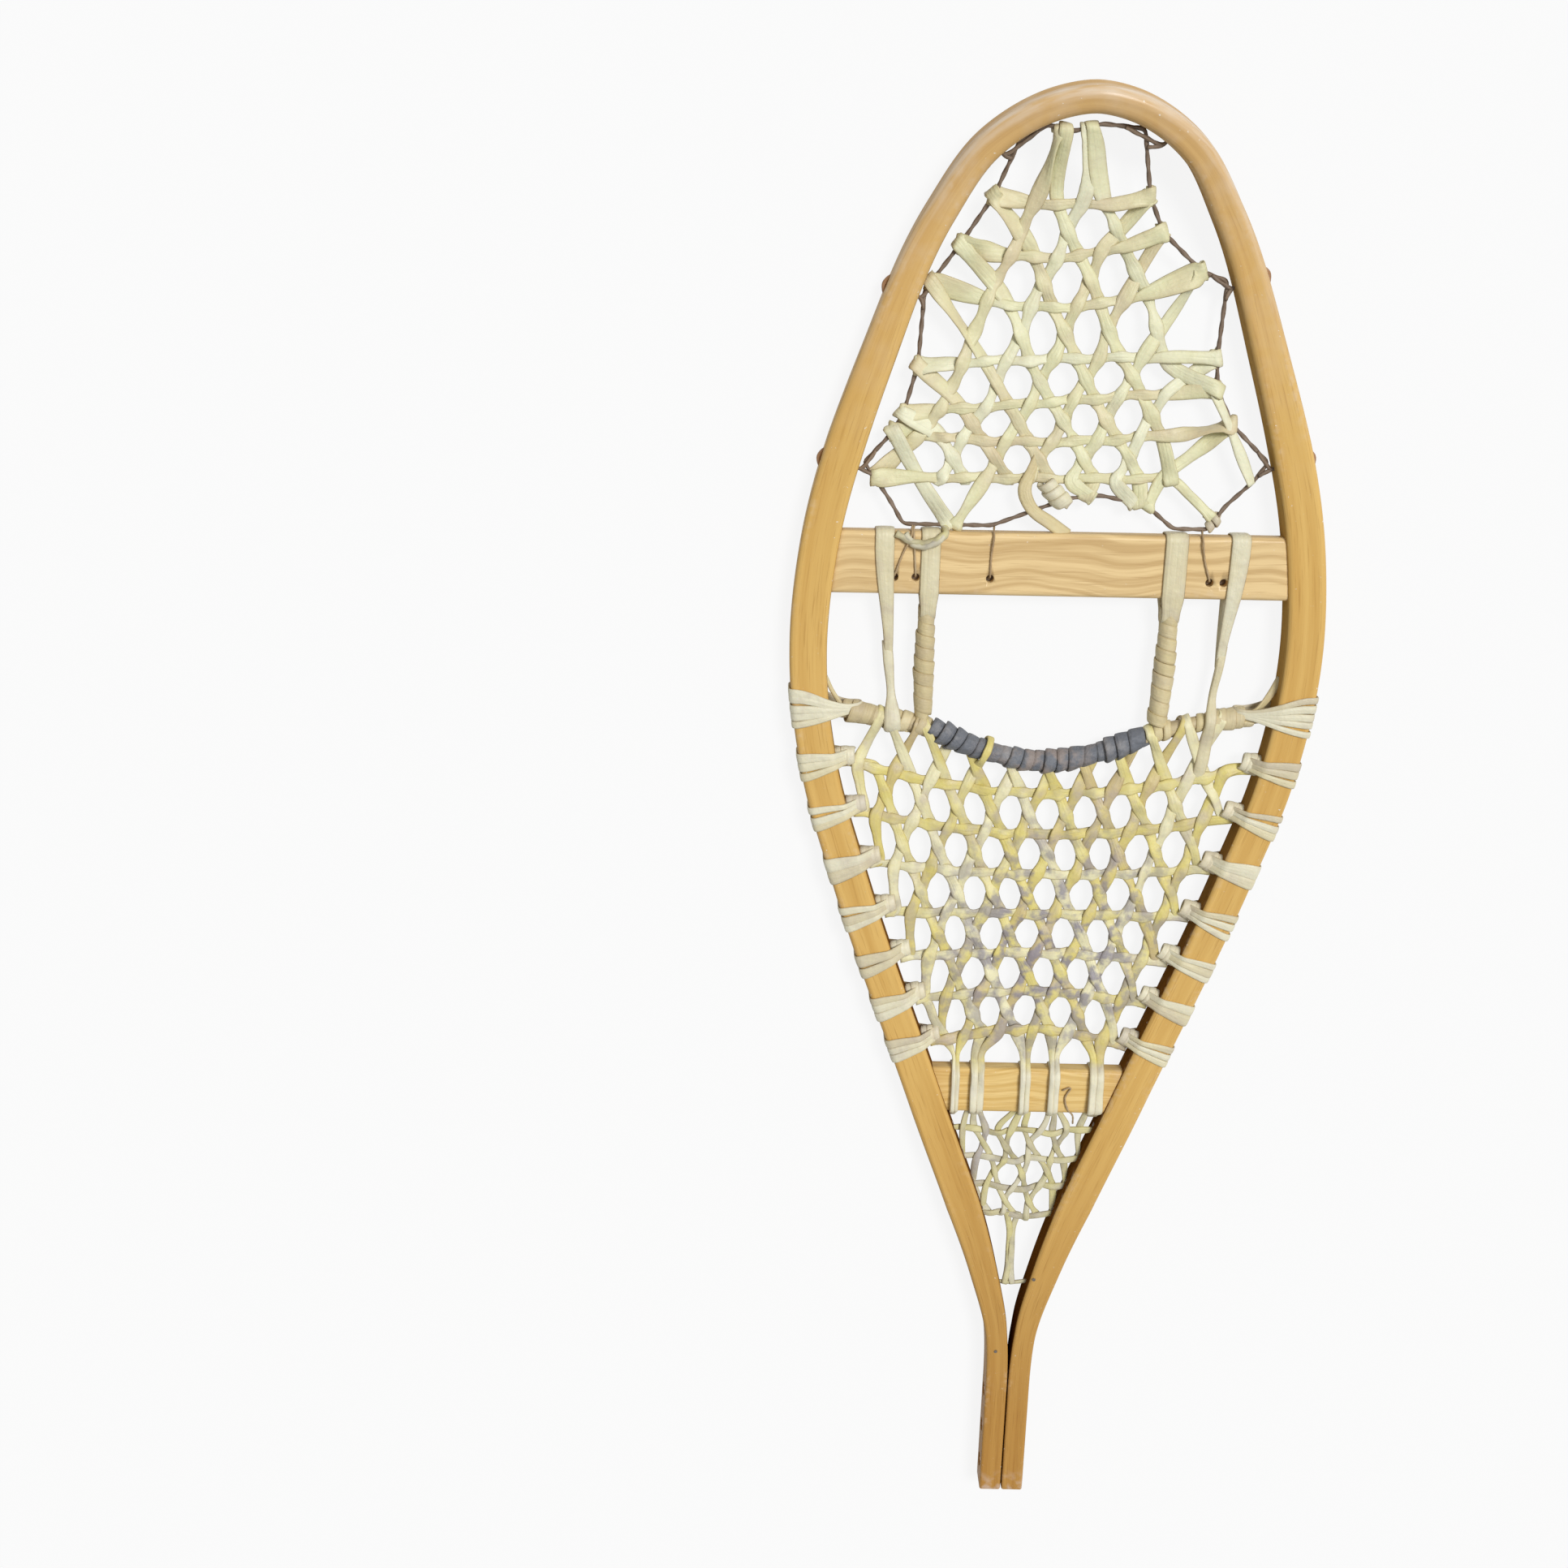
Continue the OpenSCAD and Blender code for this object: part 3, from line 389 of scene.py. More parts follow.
def connect(tree, shader, base, roughness, height, distance, strength):
    """Colour, roughness and a bump from a height value go into the shader."""
    bump = add(tree, "ShaderNodeBump", {"Height": height, "Strength": strength, "Distance": distance})
    tree.links.new(base, shader.inputs["Base Color"])
    tree.links.new(roughness, shader.inputs["Roughness"])
    tree.links.new(bump.outputs[0], shader.inputs["Normal"])


def set_values(shader, **values):
    """Plain values on the shader's own sockets; an underscore stands for a space."""
    for key, value in values.items():
        shader.inputs[key.replace("_", " ")].default_value = value


# %% Ageing and painted light of the wood
# Worn and scuffed wood, and a pale streak on the toe's outer edge that is painted highlight with some wear
WORN_WOOD, SCUFFED_END, RUBBED_SHEEN_WOOD = (0.76, 0.60, 0.42), (0.66, 0.52, 0.42), (0.80, 0.71, 0.60)
TAIL_TONE, TOE_TONE = (0.67, 0.55, 0.41), (0.64, 0.41, 0.20)
# Painted shade for the strip's side faces, then the redder wood at the rear crossbar's ends
SIDE_SHADE_TONE, BAR_END_TONE = (0.28, 0.18, 0.11), (0.58, 0.31, 0.10)
FRAME_GLOSS = 0.4
# Where a tone fades in along or across the shoe, in metres, from none to full; the side fade is for the
# painted shade
TAIL_FADE, TOE_FADE, SIDE_SHADE_FADE = (-0.12, -0.38), (0.26, 0.42), (0.16, -0.06)
END_FADE, TOE_SCUFF_FADE, BAR_END_FADE = (-0.424, -0.439), (0.22, 0.40), (0.042, 0.068)


def aged_frame_with_painted_light(tree, base):
    """The frame: darker tail, paler toe with painted highlight and wear, painted shade on side faces, scuffed
    ends.
    """
    uv, place = coordinates(tree)
    along = axis_of(tree, place, 1)
    side = attribute(tree, "side")
    base = mixed(tree, ranged(tree, along, *TAIL_FADE), base, TAIL_TONE, "MULTIPLY")
    base = mixed(tree, ranged(tree, along, *TOE_FADE, 0.0, 0.55), base, TOE_TONE)
    # Painted shade on the strip's side faces, deeper towards the tail
    darkening = times(tree, side, ranged(tree, along, *SIDE_SHADE_FADE, 0.35, 1.0))
    base = mixed(tree, darkening, base, SIDE_SHADE_TONE, "MULTIPLY")
    end_part = ranged(tree, along, *END_FADE, 0.0, 0.6)
    end_wear = times(tree, blotch(tree, place, scale=160.0, low=0.45, high=0.62), end_part)
    base = mixed(tree, end_wear, base, SCUFFED_END)
    toe_part = ranged(tree, along, *TOE_SCUFF_FADE, 0.0, 0.3)
    toe_wear = times(tree, blotch(tree, place, scale=70.0, low=0.42, high=0.70), toe_part)
    base = mixed(tree, toe_wear, base, WORN_WOOD)
    # A pale streak along the toe's outer top edge: painted highlight, with some wear
    lines = fibre_lines(tree, uv, along=45.0, across=600.0, seed=0.9)
    streaks = ranged(tree, lines, 0.36, 0.62, 0.15, 0.8)
    base = mixed(tree, times(tree, attribute(tree, "rub"), streaks), base, RUBBED_SHEEN_WOOD)
    gloss = times(tree, math_node(tree, "SUBTRACT", 1.0, side, True), FRAME_GLOSS)
    tree.links.new(gloss, tree.nodes["Principled BSDF"].inputs["Coat Weight"])
    return base


def aged_rear_bar(tree, base):
    """The rear crossbar: redder towards both ends, where it meets the frame."""
    across = math_node(tree, "ABSOLUTE", axis_of(tree, coordinates(tree)[1], 0), 0.0)
    return mixed(tree, ranged(tree, across, *BAR_END_FADE, 0.0, 0.6), base, BAR_END_TONE)


# %% Wood finishes
SHADED, FLECKED_WOOD = 0.86, (0.82, 0.74, 0.62)


def wood_finish(name, light, dark, pore, along=5.0, across=210.0, waves=0.0, gloss=0.3, ageing_and_painted_light=None):
    """Varnished ash: broad early and late wood bands, fine pores, its own ageing and painted light, then worn
    edges.
    """
    material, tree, shader = new_finish(name)
    uv, place = coordinates(tree)
    drift = noise(tree, place, scale=15.0, detail=1.0)["Color"]
    wavy = vector_node(tree, "MULTIPLY_ADD", drift, (0.0, waves, 0.0), uv)[0]
    bands = fibre_lines(tree, wavy, along, across, seed=0.3)
    pores = fibre_lines(tree, uv, along=42.0, across=1500.0, seed=0.7)
    broad = blotch(tree, place, scale=11.0, low=0.3, high=0.7)
    base = mixed(tree, ranged(tree, bands, 0.36, 0.64), light, dark)
    base = mixed(tree, times(tree, broad, 0.35), base, tuple(tone * SHADED for tone in light))
    base = mixed(tree, ranged(tree, pores, 0.56, 0.72, 0.0, 0.55), base, pore)
    if ageing_and_painted_light:
        base = ageing_and_painted_light(tree, base)
    edge = attribute(tree, "edge")
    worn = place_group(tree, worn_edges, Edge=edge, Vector=place, Scale=260.0, Amount=0.32)
    base = mixed(tree, worn, base, WORN_WOOD)
    flecks = blotch(tree, place, scale=420.0, low=0.70, high=0.76)
    flecks = times(tree, flecks, math_node(tree, "ADD", edge, 0.15))
    base = mixed(tree, flecks, base, FLECKED_WOOD)
    rough = ranged(tree, math_node(tree, "ADD", pores, broad), 0.5, 1.5, 0.30, 0.46)
    connect(tree, shader, base, rough, pores, distance=0.0004, strength=0.35)
    set_values(shader, Coat_Weight=gloss, Coat_Roughness=0.25, Specular_IOR_Level=0.0)
    return material


frame_wood = wood_finish("frame ash", (0.76, 0.49, 0.155), (0.64, 0.38, 0.105), (0.43, 0.225, 0.055),
                         gloss=FRAME_GLOSS, ageing_and_painted_light=aged_frame_with_painted_light)
front_bar_wood = wood_finish("front crossbar ash", (0.86, 0.64, 0.33), (0.62, 0.42, 0.19), (0.48, 0.30, 0.13),
                             along=7.0, across=260.0, waves=0.03)
rear_bar_wood = wood_finish("rear crossbar ash", (0.88, 0.64, 0.27), (0.68, 0.44, 0.14), (0.48, 0.27, 0.08),
                            across=420.0, waves=0.02, ageing_and_painted_light=aged_rear_bar)
print("wood finishes", [finish.name for finish in (frame_wood, front_bar_wood, rear_bar_wood)])

# %% Rawhide finish
# Painted shade along each lace's narrow edges, and how much of it
RIM_PAINTED_SHADE, RIM_AMOUNT = (0.60, 0.50, 0.38), 0.55
DIRT_CORE = 0.25


def rawhide_finish(name, pale, second, third, stain, stained, rough=0.5, dirt=None, bar=None, creased=0.7):
    """Dried lace: three shades by tint, fibres along it, stains in patches and painted shade on its narrow
    edges.
    """
    material, tree, shader = new_finish(name)
    uv, place = coordinates(tree)
    tint = attribute(tree, "tint")
    fibre = fibre_lines(tree, uv, along=30.0, across=900.0, seed=tint)
    length = fibre_lines(tree, uv, along=28.0, across=60.0, seed=tint)
    shade = math_node(tree, "ADD", times(tree, tint, 0.55), times(tree, length, 0.75))
    base = mixed(tree, ranged(tree, shade, 0.45, 0.75), pale, second)
    base = mixed(tree, ranged(tree, shade, 0.72, 0.98), base, third)
    patches = blotch(tree, place, scale=75.0, low=0.52, high=0.72)
    base = mixed(tree, times(tree, patches, stained), base, stain)
    if dirt:
        tone, centre, radius, amount = dirt
        away = vector_node(tree, "DISTANCE", place, centre)["Value"]
        near = ranged(tree, away, radius, radius * DIRT_CORE)
        darkening = times(tree, near, blotch(tree, place, scale=120.0, low=0.44, high=0.60))
        base = mixed(tree, times(tree, darkening, amount), base, tone)
    if bar:
        tone, fade = bar
        base = mixed(tree, ranged(tree, axis_of(tree, place, 1), *fade, 0.0, 0.8), base, tone)
    dark_line = ranged(tree, fibre, 0.55, 0.75, 0.0, 0.35)
    base = mixed(tree, dark_line, base, mixed(tree, 0.5, base, stain))
    # Painted shade: each lace darker along its narrow edges
    base = mixed(tree, times(tree, attribute(tree, "rim"), RIM_AMOUNT), base, RIM_PAINTED_SHADE, "MULTIPLY")
    crease = times(tree, blotch(tree, place, scale=240.0, low=0.3, high=0.7), creased)
    height = math_node(tree, "ADD", fibre, crease)
    roughness = ranged(tree, fibre, 0.3, 0.7, rough - 0.08, rough + 0.1)
    connect(tree, shader, base, roughness, height, distance=0.0006, strength=0.6)
    set_values(shader, Subsurface_Weight=0.06, Subsurface_Radius=(0.002, 0.0014, 0.0008))
    return material


# %% Rawhide and cord finishes
NET_DIRT = ((0.24, 0.22, 0.28), (0.01, -0.05, 0.01), 0.125, 0.85)
SLATE_DIRT = ((0.30, 0.25, 0.225), (-0.004, 0.068, 0.012), 0.045, 0.9)
ON_REAR_BAR = ((0.80, 0.76, 0.60), ((REAR_EDGE + 6) * MM, (REAR_EDGE - 3) * MM))
pale_hide = rawhide_finish("pale rawhide", (0.80, 0.79, 0.57), (0.74, 0.72, 0.44), (0.70, 0.60, 0.38),
                           stain=(0.58, 0.50, 0.36), stained=0.35)
wrap_hide = rawhide_finish("wrap rawhide", (0.75, 0.71, 0.53), (0.71, 0.64, 0.41), (0.60, 0.53, 0.38),
                           stain=(0.50, 0.42, 0.34), stained=0.45)
hitch_hide = rawhide_finish("hitch rawhide", (0.78, 0.73, 0.54), (0.74, 0.66, 0.47), (0.64, 0.58, 0.46),
                            stain=(0.48, 0.42, 0.36), stained=0.4)
aged_hide = rawhide_finish("aged rawhide", (0.80, 0.75, 0.48), (0.72, 0.62, 0.19), (0.60, 0.48, 0.24),
                           stain=(0.50, 0.42, 0.38), stained=0.6, dirt=NET_DIRT, bar=ON_REAR_BAR)
cord_hide = rawhide_finish("cord rawhide", (0.70, 0.60, 0.37), (0.65, 0.55, 0.30), (0.56, 0.46, 0.27),
                           stain=(0.44, 0.36, 0.26), stained=0.4, rough=0.55)
heel_hide = rawhide_finish("heel rawhide", (0.64, 0.60, 0.44), (0.64, 0.58, 0.26), (0.46, 0.42, 0.38),
                           stain=(0.24, 0.21, 0.20), stained=0.6, rough=0.6)
dark_cord = rawhide_finish("dark cord", (0.18, 0.125, 0.085), (0.25, 0.175, 0.115), (0.14, 0.10, 0.07),
                           stain=(0.34, 0.26, 0.19), stained=0.35, rough=0.62)
bump_cord = rawhide_finish("varnished cord", (0.34, 0.17, 0.07), (0.42, 0.22, 0.09), (0.30, 0.15, 0.07),
                           stain=(0.20, 0.10, 0.05), stained=0.35, rough=0.4)
slate_hide = rawhide_finish("slate winding", (0.14, 0.15, 0.172), (0.205, 0.215, 0.235), (0.29, 0.295, 0.305),
                            stain=(0.38, 0.36, 0.35), stained=0.6, rough=0.6, dirt=SLATE_DIRT, creased=2.0)
string_hide = rawhide_finish("tie string", (0.46, 0.33, 0.18), (0.38, 0.26, 0.14), (0.50, 0.38, 0.22),
                             stain=(0.24, 0.16, 0.09), stained=0.5, rough=0.6)


# %% Metal finishes
def metal_finish(name, bright, dull, metallic):
    """Old metal: bright and dull patches that also differ in roughness."""
    material, tree, shader = new_finish(name)
    patch = blotch(tree, coordinates(tree)[1], scale=500.0, low=0.4, high=0.65)
    base = mixed(tree, patch, bright, dull)
    rough = ranged(tree, patch, 0, 1, 0.3, 0.6)
    connect(tree, shader, base, rough, patch, distance=0.0002, strength=0.4)
    set_values(shader, Metallic=metallic)
    return material


copper = metal_finish("rivet copper", (0.60, 0.30, 0.17), (0.25, 0.14, 0.09), 1.0)
steel = metal_finish("brad steel", (0.20, 0.17, 0.14), (0.09, 0.07, 0.055), 0.8)
for node, finish in (("tail_rivets", copper), ("rivet_washers", copper), ("tail_brads", steel)):
    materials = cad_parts[node].data.materials
    materials.clear()
    materials.append(finish)
print("finishes", len(bpy.data.materials))

# %% [markdown]
# ## The bent frame
# The strip's middle line is one smooth curve from the right tail end, round the toe, to the left tail end.
# The toe turns up along an arc. A rounded rectangle is carried along that line: 14 mm wide in the tail,
# 21.5 mm along the sides and 14.5 mm at the toe. A sweep keeps it square to the line, as in bent wood.
# The strip's ends are rounded over, and the recesses for its rivets are cut.

# %% Middle surface of the shoe
TOE_BEND, TOE_RISE = 120.0, 24.0
BEND_R = (TOE_BEND**2 + TOE_RISE**2) / (2 * TOE_RISE)
BEND_Y = HALF_LENGTH - TOE_BEND


def bend_tilt(y):
    """Angle by which the toe's surface is turned up at y."""
    return np.arcsin(np.clip((np.asarray(y, float) - BEND_Y) / BEND_R, 0, 1))


def up_at(y):
    """Direction square to the shoe's middle surface at y."""
    tilt = bend_tilt(y)
    return np.stack([np.zeros_like(tilt), -np.sin(tilt), np.cos(tilt)], -1)


def lifted(xy, height=0.0):
    """Point of the middle surface over (x, y), moved by a height along the surface's own up direction."""
    xy = np.asarray(xy, float)
    tilt = bend_tilt(xy[..., 1])
    base = np.stack([xy[..., 0], xy[..., 1], MID_Z + BEND_R * (1 - np.cos(tilt))], -1)
    return base + up_at(xy[..., 1]) * np.asarray(height, float)[..., None]


print("the toe turns up on a radius of", round(BEND_R, 1))

# %% Frame line
TAIL_W, SIDE_W, TOE_W, EDGE_R = 14.0, 21.5, 14.5, 3.0
TAIL_LENGTH, SEAM = 120.0, 0.6
STRAIGHT_STOP, STRAIGHT_HOLD, FLARE_X, FLARE_Y = 36.0, 6.0, 3.0, 8.0
WIDE_FROM, WIDE_TO, SLOPE_STEP, CURVE_STEPS = 95.0, 0.585, 2.0, 16
# Points of one side, as shares of the widest half width and of the toe's distance
SIDE_SHARES = np.array([
    (0.138, -0.638), (0.44, -0.352), (0.81, -0.007), (0.935, 0.133), (1, 0.314), (0.965, 0.45),
    (0.755, 0.694), (0.54, 0.867), (0.376, 0.946), (0.112, 0.9945)])

tip_tilt = bend_tilt(HALF_LENGTH)
tip_half = (TOE_W / 2 - EDGE_R) * np.cos(tip_tilt) + (STRIP_H / 2 - EDGE_R) * np.sin(tip_tilt) + EDGE_R
TOE_Y = HALF_LENGTH - tip_half
PART_Y = TAIL_LENGTH - HALF_LENGTH
TAIL_X = (TAIL_W + SEAM) / 2
WIDE_X = (WIDTH - SIDE_W) / 2
straight_end = PART_Y - STRAIGHT_STOP
tail_points = [[TAIL_X, -HALF_LENGTH], [TAIL_X, straight_end - STRAIGHT_HOLD], [TAIL_X, straight_end],
               [TAIL_X + FLARE_X, PART_Y + FLARE_Y]]
right_points = np.vstack([tail_points, SIDE_SHARES * [WIDE_X, TOE_Y]])
left_points = right_points[::-1] * [-1, 1]
frame_line = smooth(np.vstack([right_points, [[0, TOE_Y]], left_points]), CURVE_STEPS)
half_line = frame_line[:len(frame_line) // 2 + 1]


def strip_w(y):
    """Width of the strip at y."""
    return np.interp(y, [PART_Y, PART_Y + WIDE_FROM, WIDE_TO * TOE_Y, TOE_Y], [TAIL_W, SIDE_W, SIDE_W, TOE_W])


def mid_x(y):
    """Distance of the strip's middle line from the shoe's middle at y."""
    return np.interp(y, half_line[:, 1], half_line[:, 0])


def side_angle(y):
    """Angle between the strip and the shoe's length at y."""
    return np.arctan((mid_x(y + SLOPE_STEP) - mid_x(y - SLOPE_STEP)) / (2 * SLOPE_STEP))


def inner_x(y):
    """Distance of the strip's inner face from the shoe's middle at y."""
    return mid_x(y) - strip_w(y) / 2 / np.cos(side_angle(y))


print("toe at", round(TOE_Y, 1), "inner half width at the front bar", round(float(inner_x(FRONT_EDGE)), 1))

# %% Rounded rectangle
CORNER_STEPS = 7
FLAT_SHARES = np.array([0.05, 0.16, 0.5, 0.84, 0.95])
EDGE_ON_FLAT = np.array([0.55, 0.12, 0.0, 0.12, 0.55])


def rounded_rings(width, height, radius):
    """Rounded rectangles, one per ring, with the edge value of each point: 1 on corners, 0 on flats."""
    width, height, radius = [np.atleast_1d(v).astype(float) for v in (width, height, radius)]
    arcs = []
    for quarter, (sx, sy) in enumerate(((1, 1), (-1, 1), (-1, -1), (1, -1))):
        a = (quarter + np.linspace(0, 1, CORNER_STEPS)) * np.pi / 2
        x = (sx * (width / 2 - radius))[:, None] + radius[:, None] * np.cos(a)
        y = (sy * (height / 2 - radius))[:, None] + radius[:, None] * np.sin(a)
        arcs.append(np.stack([x, y], -1))
    ring, edge = [], []
    for arc, after in zip(arcs, arcs[1:] + arcs[:1]):
        flat = arc[:, -1:] + (after[:, :1] - arc[:, -1:]) * FLAT_SHARES[None, :, None]
        ring += [arc, flat]
        edge += [np.ones(CORNER_STEPS), EDGE_ON_FLAT]
    return np.concatenate(ring, 1), np.concatenate(edge)


print("points in a ring of wood", 4 * (CORNER_STEPS + len(FLAT_SHARES)))

# %% Frame mesh
END_R, END_STEPS, RING_STEP, LEAST_R = 1.5, 6, 3.0, 0.5
EDGE_AT = [PART_Y - 30, PART_Y + 60, 0.45 * TOE_Y, TOE_Y]
EDGE_RADII = [1.6, EDGE_R, EDGE_R, 5.5]
# Depth of a side face, and the share of painted shade that the outer face gets beside the inner one
FACE_DEPTH, OUTER_SHADE_SHARE = 0.2, 0.25
# Size and start of the toe's painted highlight and wear on its outer top edge
RUB_SHEEN_W, RUB_SHEEN_H, RUB_SHEEN_FROM = 6.0, 4.0, 0.62

phi = np.linspace(0, np.pi / 2, END_STEPS)[:-1]
end_y = -HALF_LENGTH + END_R * (1 - np.cos(phi))
end_inset = END_R * (1 - np.sin(phi))
end_line = np.stack([np.full_like(end_y, TAIL_X), end_y], 1)
side_line = even(frame_line[1:-1], RING_STEP, 2)
line = np.vstack([end_line, side_line, end_line[::-1] * [-1, 1]])
inset = np.concatenate([end_inset, np.zeros(len(side_line)), end_inset[::-1]])
edge_r = np.maximum(np.interp(line[:, 1], EDGE_AT, EDGE_RADII) - inset, LEAST_R)
sections, edge_ring = rounded_rings(strip_w(line[:, 1]) - 2 * inset, STRIP_H - 2 * inset, edge_r)
strip_grid = sweep(lifted(line), up_at(line[:, 1]), sections)

across, high = sections[..., 0], sections[..., 1]
innermost, outermost = across.min(1, keepdims=True), across.max(1, keepdims=True)
# side: where painted shade falls, full on the inner face and a share on the outer; it also keeps the varnish
# off them
side_face = (across < innermost + FACE_DEPTH) + OUTER_SHADE_SHARE * (across > outermost - FACE_DEPTH)
# Where the painted highlight and wear lie: the outer top edge of the toe
outer_top = np.clip((across - outermost) / RUB_SHEEN_W + 1, 0, 1) * np.clip(high / RUB_SHEEN_H, 0, 1)
rubbed_sheen = outer_top * np.clip((line[:, 1:] / TOE_Y - RUB_SHEEN_FROM) / (1 - RUB_SHEEN_FROM), 0, 1)
strip_values = {"edge": np.broadcast_to(edge_ring, across.shape), "side": side_face, "rub": rubbed_sheen}
strip_piece = make_piece("bent_frame_wood", [strip_grid], frame_wood, ["bent_frame"],
                         values=strip_values)

# %% Holes in wood
DRUM_SIDES, DRUM_SKEW = 40, [0.3, 0.5, 0.81]


def drum(centre, axis, radius, length):
    """Closed cylinder about an axis, as a grid of two rings, for cutting holes."""
    axis = unit(np.array(axis, float))
    aside = unit(np.cross(axis, DRUM_SKEW))
    ends = np.array(centre, float) + np.array([[-0.5], [0.5]]) * length * axis
    a = round_angles(DRUM_SIDES)
    return sweep(ends, np.broadcast_to(aside, (2, 3)), radius * np.stack([np.cos(a), np.sin(a)], -1))


def cut_holes(piece, drums):
    """Cuts the drums out of a piece with one boolean, and keeps the result as its mesh."""
    faces, first = [], 0
    for grid in drums:
        quads, caps, _ = grid_part(grid, False)
        faces += (quads + first).tolist() + [(cap + first).tolist() for cap in caps]
        first += grid.shape[0] * grid.shape[1]
    cutter_mesh = bpy.data.meshes.new("cutter")
    verts = np.concatenate([grid.reshape(-1, 3) for grid in drums]) * MM
    cutter_mesh.from_pydata(verts.tolist(), [], faces)
    cutter = new_object("cutter", cutter_mesh)
    boolean = piece.modifiers.new("holes", "BOOLEAN")
    boolean.operation = "DIFFERENCE"
    boolean.solver = "EXACT"
    boolean.object = cutter
    ready = piece.evaluated_get(bpy.context.evaluated_depsgraph_get())
    old = piece.data
    piece.data = bpy.data.meshes.new_from_object(ready)
    piece.modifiers.clear()
    bpy.data.objects.remove(cutter)
    bpy.data.meshes.remove(cutter_mesh)
    bpy.data.meshes.remove(old)
    piece.data.name = piece.name
    print(piece.name, len(piece.data.polygons), "faces with", len(drums), "holes")


RECESS_DEPTH, RECESS_R, RECESS_DRILL, RIVET_HEAD_R, RIVETS = 3.5, 4.55, 20.0, 3.25, 3
rivet_low, rivet_high = node_box("tail_rivets")
rivet_ys = np.linspace(rivet_low[1] + RIVET_HEAD_R, rivet_high[1] - RIVET_HEAD_R, RIVETS)
recess_x = TAIL_W + SEAM / 2 + RECESS_DRILL / 2 - RECESS_DEPTH
cut_holes(strip_piece, [drum((side * recess_x, y, MID_Z), (1, 0, 0), RECESS_R, RECESS_DRILL)
                        for side, _ in SIDES for y in rivet_ys])

# %% [markdown]
# ## Crossbars
# Each bar is a flat ash board with rounded edges, cut to the slant of the frame where it meets it. The grid
# runs from one frame face to the other, so its ends follow that slant. The lacing holes are real holes.

# %% Crossbar meshes
BAR_ROUND, BAR_SUNK, BAR_RINGS = 3.0, 1.2, 90
BAR_HOLES_X, BAR_HOLE_Y, BAR_HOLE_R, BAR_DRILL = (-94, -82, -40, 84, 92), FRONT_BACK + 10, 2.3, 30.0


def crossbar(word, y_low, y_high, finish):
    """Rounded board across the shoe: x is a share of the frame's inner half width at each point's own y."""
    section, edge = rounded_rings(y_high - y_low, BAR_H, BAR_ROUND)
    y = (y_low + y_high) / 2 - section[0, :, 0]
    z = MID_Z + section[0, :, 1]
    x = np.linspace(-1, 1, BAR_RINGS)[:, None] * (inner_x(y) + BAR_SUNK)[None]
    grid = np.stack(np.broadcast_arrays(x, y[None], z[None]), -1)
    return make_piece(word + "_crossbar_wood", [grid], finish, [word + "_crossbar"],
                      values={"edge": np.broadcast_to(edge, x.shape)})


front_piece = crossbar("front", FRONT_BACK, FRONT_EDGE, front_bar_wood)
cut_holes(front_piece, [drum((x, BAR_HOLE_Y, MID_Z), (0, 0, 1), BAR_HOLE_R, BAR_DRILL) for x in BAR_HOLES_X])
crossbar("rear", REAR_BACK, REAR_EDGE, rear_bar_wood)

# %% [markdown]
# ## Laces and nets
# A three-way net has rows across the shoe and two sets of leaning strands. Where two laces cross, one lies
# over the other, and the rule is the same everywhere: a row goes over the strands that lean one way and under
# those that lean the other way. So each lace's height swings up and down along its length.

# %% Lace helpers
LACE_STEP, LACE_CURVE, UNEVEN_W = 1.5, 6, 0.07


def lace(points, width, thick, twist):
    """Flat lace through points (place, facing direction, width share), a little twisted and uneven."""
    points = np.asarray(points, float)
    uneven = rng.normal(0, 1, (len(points), 2))
    line = even(smooth(np.hstack([points, uneven]), LACE_CURVE), LACE_STEP)
    path, facing = line[:, :3], unit(line[:, 3:6])
    aside = unit(np.cross(np.gradient(path, axis=0), facing))
    facing = facing + aside * twist * line[:, 7:8]
    return sweep(path, facing, ribbon(width * line[:, 6] * (1 + UNEVEN_W * line[:, 8]), thick))


def net_points(xy, height, share=1.0):
    """Lace points on the shoe's middle surface, at their heights above it and facing up."""
    xy = np.asarray(xy, float)
    share = np.broadcast_to(share, len(xy))[:, None]
    return np.hstack([lifted(xy, height), up_at(xy[:, 1]), share])


def hook(at, outward, radius, degrees, share):
    """Lace points bent round a cord: an arc in the plane of the outward and the up direction."""
    at = np.asarray(at, float)
    tilt = bend_tilt(at[1])
    way = unit(np.asarray(outward, float))
    out = np.array([way[0], way[1] * np.cos(tilt), way[1] * np.sin(tilt)])
    a = np.radians(degrees)[:, None]
    ring = np.cos(a) * out + np.sin(a) * up_at(at[1])
    return np.hstack([lifted(at) + radius * ring, ring, np.full((len(a), 1), share)])


def inset_point(side, y, inset):
    """Point inside the frame's inner face on one side."""
    return np.array([side * (inner_x(y) - inset), y])


# %% Net layout
ROW_DRIFT, STRANDS = 1.0, range(-16, 17)


